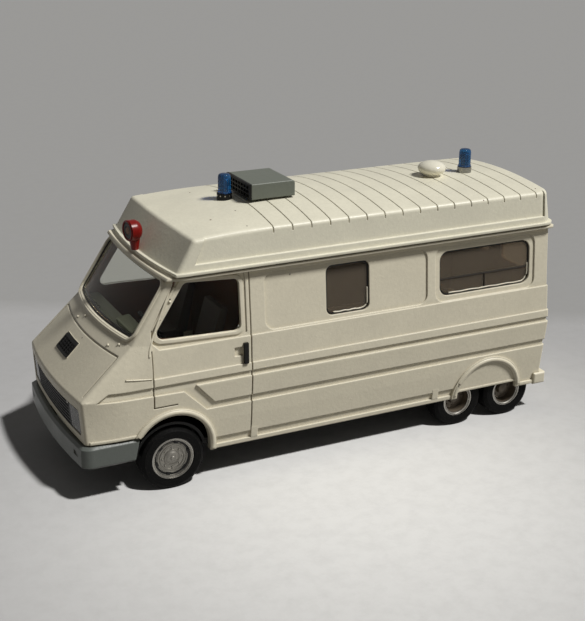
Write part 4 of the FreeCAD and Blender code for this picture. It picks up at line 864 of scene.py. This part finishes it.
def dress_screen():
    """Round bead on the windscreen's raised border, a black seal round its glass and a dark strip of painted
    shade on its ledge.
    """
    bead = bmesh.new()
    rod(bead, screen_path(SHELL, BEAD_OUT, BEAD_SUNK), BEAD_RADIUS)
    new_piece("windscreen_bead", bead, BEAD_WHITE)
    seal = bmesh.new()
    rod(seal, screen_path(surface_of("windscreen"), SEAL_OUT, 0.0), SEAL_RADIUS, sides=6)
    new_piece("windscreen_seal", seal, SATIN_BLACK)
    # Painted shade: a dark strip where light through the glass would brighten the ledge
    strip = bmesh.new()
    across = [LEDGE_HALF * step / 10 for step in range(-10, 11)]
    height = SCREEN_LOW - LEDGE_DROP
    rod(strip, [(LEDGE_MIDDLE + LEDGE_CROWN * y * y, y, height) for y in across], LEDGE_RADIUS)
    new_piece("windscreen_ledge_shade_strip", strip, SATIN_BLACK)


dress_screen()

# The raised line from the fender to the door, in mm: its two ends along the model and their heights, how far
# below it the skin is read, how deep its middle is in the skin, and its radius
FENDER_LINE = ((-53.75, 30.67), (-47.45, 30.0))
FENDER_SKIN_BELOW = 0.45
FENDER_LINE_SUNK = 0.05
FENDER_LINE_RADIUS = 0.21


def dress_fender_lines():
    """Raised line on each front fender that meets the line along the door."""
    (x0, z0), (x1, z1) = FENDER_LINE
    for word, side in SIDES:
        points = []
        for step in range(9):
            x = x0 + (x1 - x0) * step / 8
            z = z0 + (z1 - z0) * step / 8
            found, _ = seen_on(SHELL, (x, side * BESIDE, z - FENDER_SKIN_BELOW), (0, -side, 0))
            points.append((x, found.y - side * FENDER_LINE_SUNK, z))
        line = bmesh.new()
        rod(line, points, FENDER_LINE_RADIUS)
        new_piece("fender_line_" + word, line, BEAD_WHITE)


dress_fender_lines()

# The rings over the wheels: middle and radius in mm, first and last angle in degrees from the rear foot,
# and their bead's radius and how deep its middle is in the ring
ARCHES = (("front", -42.35, 10.3, 10.2, -8, 171, 0.7, 0.4), ("rear", 47.35, 7.9, 10.25, 8, 172, 0.66, 0.35))
# A spot nearer the middle line than this, in mm, isn't on a ring any more
RING_SKIN = 21.5
# The middle and size of the rail from the rear ring's rear foot to the bumper, in mm
SILL_RAIL_MIDDLE = (60.35, 22.18, 8.95)
SILL_RAIL_SIZE = (4.8, 0.7, 1.1)


def dress_arches():
    """Round bead on each arch ring, and the sill rail behind the rear one."""
    for word, side in SIDES:
        for name, x0, z0, radius, first, last, thick, sunk in ARCHES:
            points = []
            for step in range(33):
                turn = math.radians(first + (last - first) * step / 32)
                x = x0 + radius * math.cos(turn)
                z = z0 + radius * math.sin(turn)
                found = seen_on(SHELL, (x, side * BESIDE, z), (0, -side, 0))
                if found and abs(found[0].y) > RING_SKIN:
                    points.append((x, found[0].y - side * sunk, z))
            bead = bmesh.new()
            rod(bead, points, thick, sides=12)
            new_piece("%s_arch_bead_%s" % (name, word), bead, BEAD_WHITE)
        rail = bmesh.new()
        x, y, z = SILL_RAIL_MIDDLE
        block(rail, SILL_RAIL_SIZE, Matrix.Translation((x, side * y, z)), edge=0.15)
        new_piece("rear_sill_rail_" + word, rail, BEAD_WHITE)


dress_arches()

# Small nicks in the roof's paint: place and radius, and how proud they stand, in mm
ROOF_NICKS = ((-27.65, -11.7, 0.28), (-23.39, 12.26, 0.22), (61.24, -18.64, 0.24), (43.45, -21.03, 0.2))
NICK_PROUD = 0.03
ABOVE_ROOF = 80


def dress_roof_nicks():
    """Flat dark spots where the roof's enamel has chipped."""
    nicks = bmesh.new()
    for x, y, radius in ROOF_NICKS:
        found, normal = seen_on(ROOF, (x, y, ABOVE_ROOF), DOWNWARDS)
        profile = ((0.0, NICK_PROUD), (0.7 * radius, NICK_PROUD), (radius, -NICK_PROUD))
        turned(nicks, profile, facing(found, normal, BACKWARDS), steps=10)
    new_piece("roof_paint_nicks", nicks, BROWN)


dress_roof_nicks()

# The bright line along the top of the front panel, in mm: half its length, its height and its radius
GRILLE_LINE_HALF = 13.2
GRILLE_LINE_HEIGHT = 23.45
GRILLE_LINE_PROUD = 0.03
GRILLE_LINE_RADIUS = 0.16


def dress_grille():
    """Bright line along the top of the black front panel."""
    line = bmesh.new()
    panel = surface_of("grille")
    points = []
    for step in range(15):
        y = -GRILLE_LINE_HALF + 2 * GRILLE_LINE_HALF * step / 14
        found, normal = seen_on(panel, (IN_FRONT, y, GRILLE_LINE_HEIGHT), BACKWARDS)
        points.append(found + GRILLE_LINE_PROUD * normal)
    rod(line, points, GRILLE_LINE_RADIUS, sides=6)
    new_piece("grille_bright_line", line, PLATED)


# The bonnet vent's pale lip and its bars, in mm: how far out of the vent the lip runs, across and up, its
# radius, and the bars' distance from the vent's sides, their number and their radius
LIP_ACROSS = 0.12
LIP_UP = 0.1
LIP_RADIUS = 0.14
BAR_INSET = 0.75
BARS = 6
BAR_PROUD = 0.02
BAR_RADIUS = 0.13


def dress_bonnet_vent():
    """Pale lip round the bonnet vent, and upright bars over its face."""
    low, high = (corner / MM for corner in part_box("bonnet_vent"))
    lip = bmesh.new()
    corners = [(low.y - LIP_ACROSS, low.z - LIP_UP), (high.y + LIP_ACROSS, low.z - LIP_UP),
               (high.y + LIP_ACROSS, high.z + LIP_UP), (low.y - LIP_ACROSS, high.z + LIP_UP)]
    for (y0, z0), (y1, z1) in zip(corners, corners[1:] + corners[:1]):
        edge = []
        for step in range(9):
            y = y0 + (y1 - y0) * step / 8
            z = z0 + (z1 - z0) * step / 8
            found, _ = seen_on(SHELL, (IN_FRONT, y, z), BACKWARDS)
            edge.append(found)
        rod(lip, edge, LIP_RADIUS, sides=6)
    new_piece("bonnet_vent_lip", lip, WHITE)
    vent = surface_of("bonnet_vent")
    lattice = bmesh.new()
    for bar in range(BARS):
        y = low.y + BAR_INSET + (high.y - low.y - 2 * BAR_INSET) * bar / (BARS - 1)
        heights = [low.z + (high.z - low.z) * step / 6 for step in range(1, 6)]
        found = [seen_on(vent, (IN_FRONT, y, z), BACKWARDS) for z in heights]
        points = [spot + BAR_PROUD * normal for spot, normal in filter(None, found)]
        rod(lattice, points, BAR_RADIUS, sides=6)
    new_piece("bonnet_vent_lattice", lattice, BLACK)


dress_grille()
dress_bonnet_vent()

# Rear doors, in mm: the hinges' heights, their distance from the middle line below the waist, their plate
# and their knuckle, and the handle's place, feet and rod
HINGE_HEIGHTS = (22.0, 34.5, 51.2)
HINGE_OUT = 21.2
HINGE_PLATE = (1.5, 0.7, 0.3)
HINGE_KNUCKLE = ((0.0, 0.75), (0.2, 0.73), (0.24, 0.65), (0.24, -0.65), (0.2, -0.73), (0.0, -0.75))
KNUCKLE_PROUD = 0.1
KNUCKLE_OUT = 0.7
HANDLE_ACROSS = 1.9
HANDLE_HEIGHT = 33.5
HANDLE_FOOT = (0.5, 0.6, 0.4)
HANDLE_FOOT_PROUD = 0.1
HANDLE_FOOT_RISE = 1.3
HANDLE_ROD_PROUD = 0.25
HANDLE_ROD_RISES = (-1.8, -0.6, 0.6, 1.8)
HANDLE_ROD_RADIUS = 0.17


def dress_rear_doors():
    """Three hinges at each side of the rear doors and an upright handle beside their seam."""
    hinges = bmesh.new()
    for _, side in SIDES:
        for height in HINGE_HEIGHTS:
            reach = HINGE_OUT - WALL_LEAN * max(0, height - WAIST)
            found, _ = seen_on(SHELL, (BEHIND, side * reach, height), FORWARDS)
            block(hinges, HINGE_PLATE, facing(found, BACKWARDS))
            knuckle = Matrix.Translation(found + Vector((KNUCKLE_PROUD, side * KNUCKLE_OUT, 0)))
            turned(hinges, HINGE_KNUCKLE, knuckle, steps=12)
    new_piece("rear_door_hinges", hinges, WHITE)
    handle = bmesh.new()
    found, _ = seen_on(SHELL, (BEHIND, HANDLE_ACROSS, HANDLE_HEIGHT), FORWARDS)
    for rise in (-HANDLE_FOOT_RISE, HANDLE_FOOT_RISE):
        block(handle, HANDLE_FOOT, facing(found + Vector((HANDLE_FOOT_PROUD, 0, rise)), BACKWARDS))
    rod(handle, [found + Vector((HANDLE_ROD_PROUD, 0, rise)) for rise in HANDLE_ROD_RISES], HANDLE_ROD_RADIUS)
    new_piece("rear_door_handle", handle, SATIN_BLACK)


dress_rear_doors()

# The dashboard from above, in mm: its dials along, across and in radius, their ring's height, width and
# depth, and its air slots along and across and in size
DIALS = ((-50.2, 11.6, 1.0), (-50.2, 8.8, 1.0))
DIAL_RING = (0.05, 0.2, 0.25)
AIR_SLOTS = ((-51.3, -14.0), (-51.6, -5.0), (-51.6, 3.5), (-51.3, 16.5))
AIR_SLOT_SIZE = (0.5, 5.0, 0.16)
ABOVE_DASHBOARD = 60


def dress_dashboard():
    """Raised dial rings and dark air slots on the dashboard top."""
    top = surface_of("dashboard")
    rings = bmesh.new()
    for x, y, radius in DIALS:
        found = seen_on(top, (x, y, ABOVE_DASHBOARD), DOWNWARDS)
        if found:
            rings_on(rings, ((radius, *DIAL_RING),), facing(*found, BACKWARDS), steps=24, corners=6)
    slots = bmesh.new()
    for x, y in AIR_SLOTS:
        found = seen_on(top, (x, y, ABOVE_DASHBOARD), DOWNWARDS)
        if found:
            block(slots, AIR_SLOT_SIZE, facing(*found, (0, 1, 0)), edge=0.05)
    new_piece("dashboard_dial_rings", rings, SATIN_BLACK)
    new_piece("dashboard_air_slots", slots, SATIN_BLACK)


dress_dashboard()

# Side windows, in mm: front and rear end and lower and upper edge of the glass, and its corner radius
SIDE_WINDOWS = (("middle", -1.2, 10.0, 38.45, 50.15, 1.6), ("aft", 31.4, 58.4, 38.55, 49.35, 2.4))
# The side glass's outer face, in mm: its distance from the middle line at a height, above which it leans in
GLASS_FACE = 21.59
GLASS_HEIGHT = 38.14
# A path round a glass has this many points along its foot and in each corner
FOOT_POINTS = 12
CORNER_POINTS = 6
# The seal round the glass, in mm: how far out of it it runs, along and up, and its radius
GLASS_SEAL_ALONG = 0.2
GLASS_SEAL_UP = 0.15
GLASS_SEAL_RADIUS = 0.2
# The pale bead of painted highlight along its foot and up its rear edge, in mm: how far inside it runs at the
# front and the foot and at the rear, how much of the rear edge it climbs, as a share, its waves, how proud it
# is and its radius
HIGHLIGHT_IN = 0.1
HIGHLIGHT_REAR_IN = 0.05
HIGHLIGHT_CLIMB = 0.45
HIGHLIGHT_WAVE = 0.07
HIGHLIGHT_WAVES_PER_MM = 2.3
HIGHLIGHT_PROUD = 0.08
HIGHLIGHT_RADIUS = 0.19
# The rail seen in the aft glass, in mm: its height, its post's place along the model, and its radius
RAIL_HEIGHT = 42.4
RAIL_POST = 44.9
RAIL_PROUD = 0.02
RAIL_RADIUS = 0.17


def on_glass(x, z, side, proud):
    """A point in mm on a side window's glass, proud of its face."""
    return Vector((x, side * (GLASS_FACE + proud - WALL_LEAN * (z - GLASS_HEIGHT)), z))


def window_path(front, back, low, high, corner):
    """Points of an upright rectangle with round corners, from its lower front corner backwards and up."""
    length = back - front - 2 * corner
    path = [(front + corner + length * step / FOOT_POINTS, low) for step in range(FOOT_POINTS)]
    middles = ((back - corner, low + corner, -90), (back - corner, high - corner, 0),
               (front + corner, high - corner, 90), (front + corner, low + corner, 180))
    for x, z, start in middles:
        for step in range(CORNER_POINTS):
            turn = math.radians(start + 90 * step / (CORNER_POINTS - 1))
            path.append((x + corner * math.cos(turn), z + corner * math.sin(turn)))
    return path


def glass_seal(front, back, low, high, corner, side):
    """Black seal just outside a side glass."""
    edge = window_path(front - GLASS_SEAL_ALONG, back + GLASS_SEAL_ALONG, low - GLASS_SEAL_UP,
                       high + GLASS_SEAL_UP, corner + GLASS_SEAL_UP)
    seal = bmesh.new()
    rod(seal, [on_glass(x, z, side, 0.0) for x, z in edge + edge[:1]], GLASS_SEAL_RADIUS, sides=6)
    return seal


def glass_highlight_bead(front, back, low, high, corner, side):
    """An uneven pale bead along the foot of a side glass and up its rear edge: a painted highlight where the
    glass's edge catches the light.
    """
    edge = window_path(front + HIGHLIGHT_IN, back - HIGHLIGHT_REAR_IN, low + HIGHLIGHT_IN, high, corner)
    lower = edge[:FOOT_POINTS + CORNER_POINTS]
    lower.append((back - HIGHLIGHT_REAR_IN, low + HIGHLIGHT_CLIMB * (high - low)))
    bead = bmesh.new()
    rod(bead, [on_glass(x, z + HIGHLIGHT_WAVE * math.sin(HIGHLIGHT_WAVES_PER_MM * x), side, HIGHLIGHT_PROUD)
               for x, z in lower], HIGHLIGHT_RADIUS, sides=6)
    return bead


def glass_rail(front, back, low, side):
    """A level rail along a side glass, with a post under it."""
    rail = bmesh.new()
    level = ((front, RAIL_HEIGHT), (back, RAIL_HEIGHT))
    post = ((RAIL_POST, low), (RAIL_POST, RAIL_HEIGHT))
    for ends in (level, post):
        rod(rail, [on_glass(x, z, side, RAIL_PROUD) for x, z in ends], RAIL_RADIUS, sides=6)
    return rail


def dress_side_windows():
    """Black seal and a pale bead of painted highlight round each side glass, and the aft window's rail."""
    for name, front, back, low, high, corner in SIDE_WINDOWS:
        for word, side in SIDES:
            seal = glass_seal(front, back, low, high, corner, side)
            new_piece("%s_glass_seal_%s" % (name, word), seal, SATIN_BLACK)
            highlight_bead = glass_highlight_bead(front, back, low, high, corner, side)
            new_piece("%s_glass_cement_%s" % (name, word), highlight_bead, HIGHLIGHT_BEAD)
            if name == "aft":
                rail = glass_rail(front, back, low, side)
                new_piece("aft_glass_rail_" + word, rail, RAIL_BROWN)


dress_side_windows()


def make_camera():
    """The photograph's camera: its place and the way it looks, from its azimuth, elevation and roll."""
    azimuth = math.radians(CAMERA_AZIMUTH)
    elevation = math.radians(CAMERA_ELEVATION)
    roll = math.radians(CAMERA_ROLL)
    back = Vector((math.sin(azimuth) * math.cos(elevation), -math.cos(azimuth) * math.cos(elevation),
                   math.sin(elevation)))
    level = Vector((math.cos(azimuth), math.sin(azimuth), 0))
    upward = back.cross(level)
    right = math.cos(roll) * level + math.sin(roll) * upward
    up = -math.sin(roll) * level + math.cos(roll) * upward
    data = bpy.data.cameras.new("photo_camera")
    data.sensor_fit = "AUTO"
    data.sensor_width = SENSOR
    data.lens = FOCAL_PIXELS * SENSOR / max(PHOTO_WIDTH, PHOTO_HEIGHT)
    data.clip_start = 0.01
    data.clip_end = 50
    camera = bpy.data.objects.new("photo_camera", data)
    turn = Matrix((right, up, back)).transposed()
    camera.matrix_world = Matrix.Translation(CAMERA_PLACE) @ turn.to_4x4()
    bpy.context.scene.collection.objects.link(camera)
    bpy.context.scene.camera = camera


# Half the floor's side, in metres
FLOOR_REACH = 3.0
# The pale sheet ends and a greyer one begins on this line of the floor, with a soft edge before and after
# it, in mm
SHEET_EDGE_POINT = Vector((34.0, 73.5, 0))
SHEET_EDGE_OUT = Vector((0.477, 0.879, 0))
SHEET_EDGE_BEFORE = 4
SHEET_EDGE_AFTER = 10
# The middle of the pool of light painted on the paper, and how far from it the painted light starts and ends
# fading greyer, in mm
LIGHT_POOL_MIDDLE = Vector((0, -48, 0))
LIGHT_POOL_START = 5
LIGHT_POOL_END = 135
# The paper's fibres and its blotches, in mm from one to the next
FIBRE_SPACING = 1.2
BLOTCH_SPACING = 4.5
# The paper as the eye sees it in the painted pool of light and past it, the sheet behind it, the blotches,
# and the darker paper that throws light back on the model
PAPER_IN_LIGHT_POOL = "#DEDEDD"
PAPER_PAST_LIGHT_POOL = "#A6A6A7"
SHEET_BEHIND = "#989898"
PAPER_BLOTCH = "#8C8B89"
PAPER_BOUNCE = "#6E6C68"


def matte_paper():
    """Matte uncoated paper: pale and dull, with a painted pool of light that fades greyer away from its
    middle, and faint blotches.
    """
    material, tree = new_material("matte_paper_floor")
    place = where(tree)
    away = add(tree, "VectorMath", {0: place, 1: SHEET_EDGE_OUT}, operation="DOT_PRODUCT").outputs["Value"]
    edge = SHEET_EDGE_POINT.dot(SHEET_EDGE_OUT) * MM
    behind = ramp(tree, away, edge - SHEET_EDGE_BEFORE * MM, edge + SHEET_EDGE_AFTER * MM)
    out = add(tree, "VectorMath", {0: place, 1: LIGHT_POOL_MIDDLE * MM}, operation="DISTANCE").outputs["Value"]
    # Painted light: the paper fades from the pool's pale middle to grey further out
    light_falloff = add(tree, "MapRange", {"Value": out, "From Min": LIGHT_POOL_START * MM, "From Max": LIGHT_POOL_END * MM,
                                 "To Min": 0.0, "To Max": 1.0}, interpolation_type="SMOOTHSTEP").outputs[0]
    near = blend_colours(tree, light_falloff, linear(PAPER_IN_LIGHT_POOL), linear(PAPER_PAST_LIGHT_POOL))
    paper = blend_colours(tree, behind, near, linear(SHEET_BEHIND))
    paper = blend_colours(tree, seen_share(tree), linear(PAPER_BOUNCE), paper)
    fibre = add(tree, "TexNoise", {"Vector": place, "Scale": per_mm(FIBRE_SPACING), "Detail": 5.0})
    blotch = add(tree, "TexNoise", {"Vector": place, "Scale": per_mm(BLOTCH_SPACING), "Detail": 6.0,
                                    "Roughness": 0.7})
    stain = ramp(tree, blotch.outputs["Fac"], 0.42, 0.68, 0.0, 0.12)
    paper = blend_colours(tree, stain, paper, linear(PAPER_BLOTCH))
    bump = add(tree, "Bump", {"Height": fibre.outputs["Fac"], "Strength": 0.12, "Distance": 0.05 * MM})
    shader = add(tree, "BsdfPrincipled", {"Base Color": paper, "Roughness": 0.85, "Specular IOR Level": 0.2,
                                          "Normal": bump.outputs[0]})
    finish_material(tree, shader)
    return material


def make_floor():
    """Pale paper under the model, with a greyer sheet far behind it."""
    shape = bmesh.new()
    corners = [shape.verts.new((x * FLOOR_REACH, y * FLOOR_REACH, 0))
               for x, y in ((-1, -1), (1, -1), (1, 1), (-1, 1))]
    shape.faces.new(corners)
    data = bpy.data.meshes.new("pale_floor")
    shape.to_mesh(data)
    shape.free()
    floor = bpy.data.objects.new("pale_floor", data)
    bpy.context.scene.collection.objects.link(floor)
    data.materials.append(matte_paper())
    return floor


# The two lamps: the way each comes from, its width in degrees and its strength. The floor's own stands a
# little further forward, which puts the shadow where the photograph shows it
LAMP_COLOUR = (1.0, 0.985, 0.955)
FLOOR_LAMP = ((0.26, -0.55, 1.0), 4.0, 3.4)
MODEL_LAMP = ((0.55, -0.5, 1.0), 12.0, 3.2)
# The room's colour, and its strength on surfaces and in what the eye sees
ROOM_COLOUR = (1.0, 0.975, 0.94, 1.0)
ROOM_STRENGTH = 0.085
ROOM_STRENGTH_SEEN = 0.3


def make_sun(name, direction, spread, strength, receivers):
    """Distant softbox that lights only what its receivers collection says; spread is its width in degrees."""
    data = bpy.data.lights.new(name, "SUN")
    data.angle = math.radians(spread)
    data.energy = strength
    data.color = LAMP_COLOUR
    lamp = bpy.data.objects.new(name, data)
    lamp.rotation_euler = (-Vector(direction)).to_track_quat("-Z", "Y").to_euler()
    bpy.context.scene.collection.objects.link(lamp)
    lamp.light_linking.receiver_collection = receivers


def make_room():
    """Dim warm room round the model, brighter where the eye sees it, straight or in gloss and glass."""
    world = bpy.data.worlds.new("soft_room")
    bpy.context.scene.world = world
    world.use_nodes = True
    tree = world.node_tree
    level = ramp(tree, seen_share(tree), 0.0, 1.0, ROOM_STRENGTH, ROOM_STRENGTH_SEEN)
    sky = tree.nodes["Background"]
    sky.inputs["Color"].default_value = ROOM_COLOUR
    tree.links.new(level, sky.inputs["Strength"])


def make_lights(floor):
    """One lamp for the floor and one for everything but the floor."""
    only_floor = bpy.data.collections.new("lit_as_floor")
    only_floor.objects.link(floor)
    not_floor = bpy.data.collections.new("lit_as_model")
    not_floor.objects.link(floor)
    not_floor.collection_objects[0].light_linking.link_state = "EXCLUDE"
    make_sun("floor_softbox", *FLOOR_LAMP, only_floor)
    make_sun("key_softbox", *MODEL_LAMP, not_floor)


make_camera()
make_room()
make_lights(make_floor())
bpy.context.scene.view_settings.view_transform = "Standard"
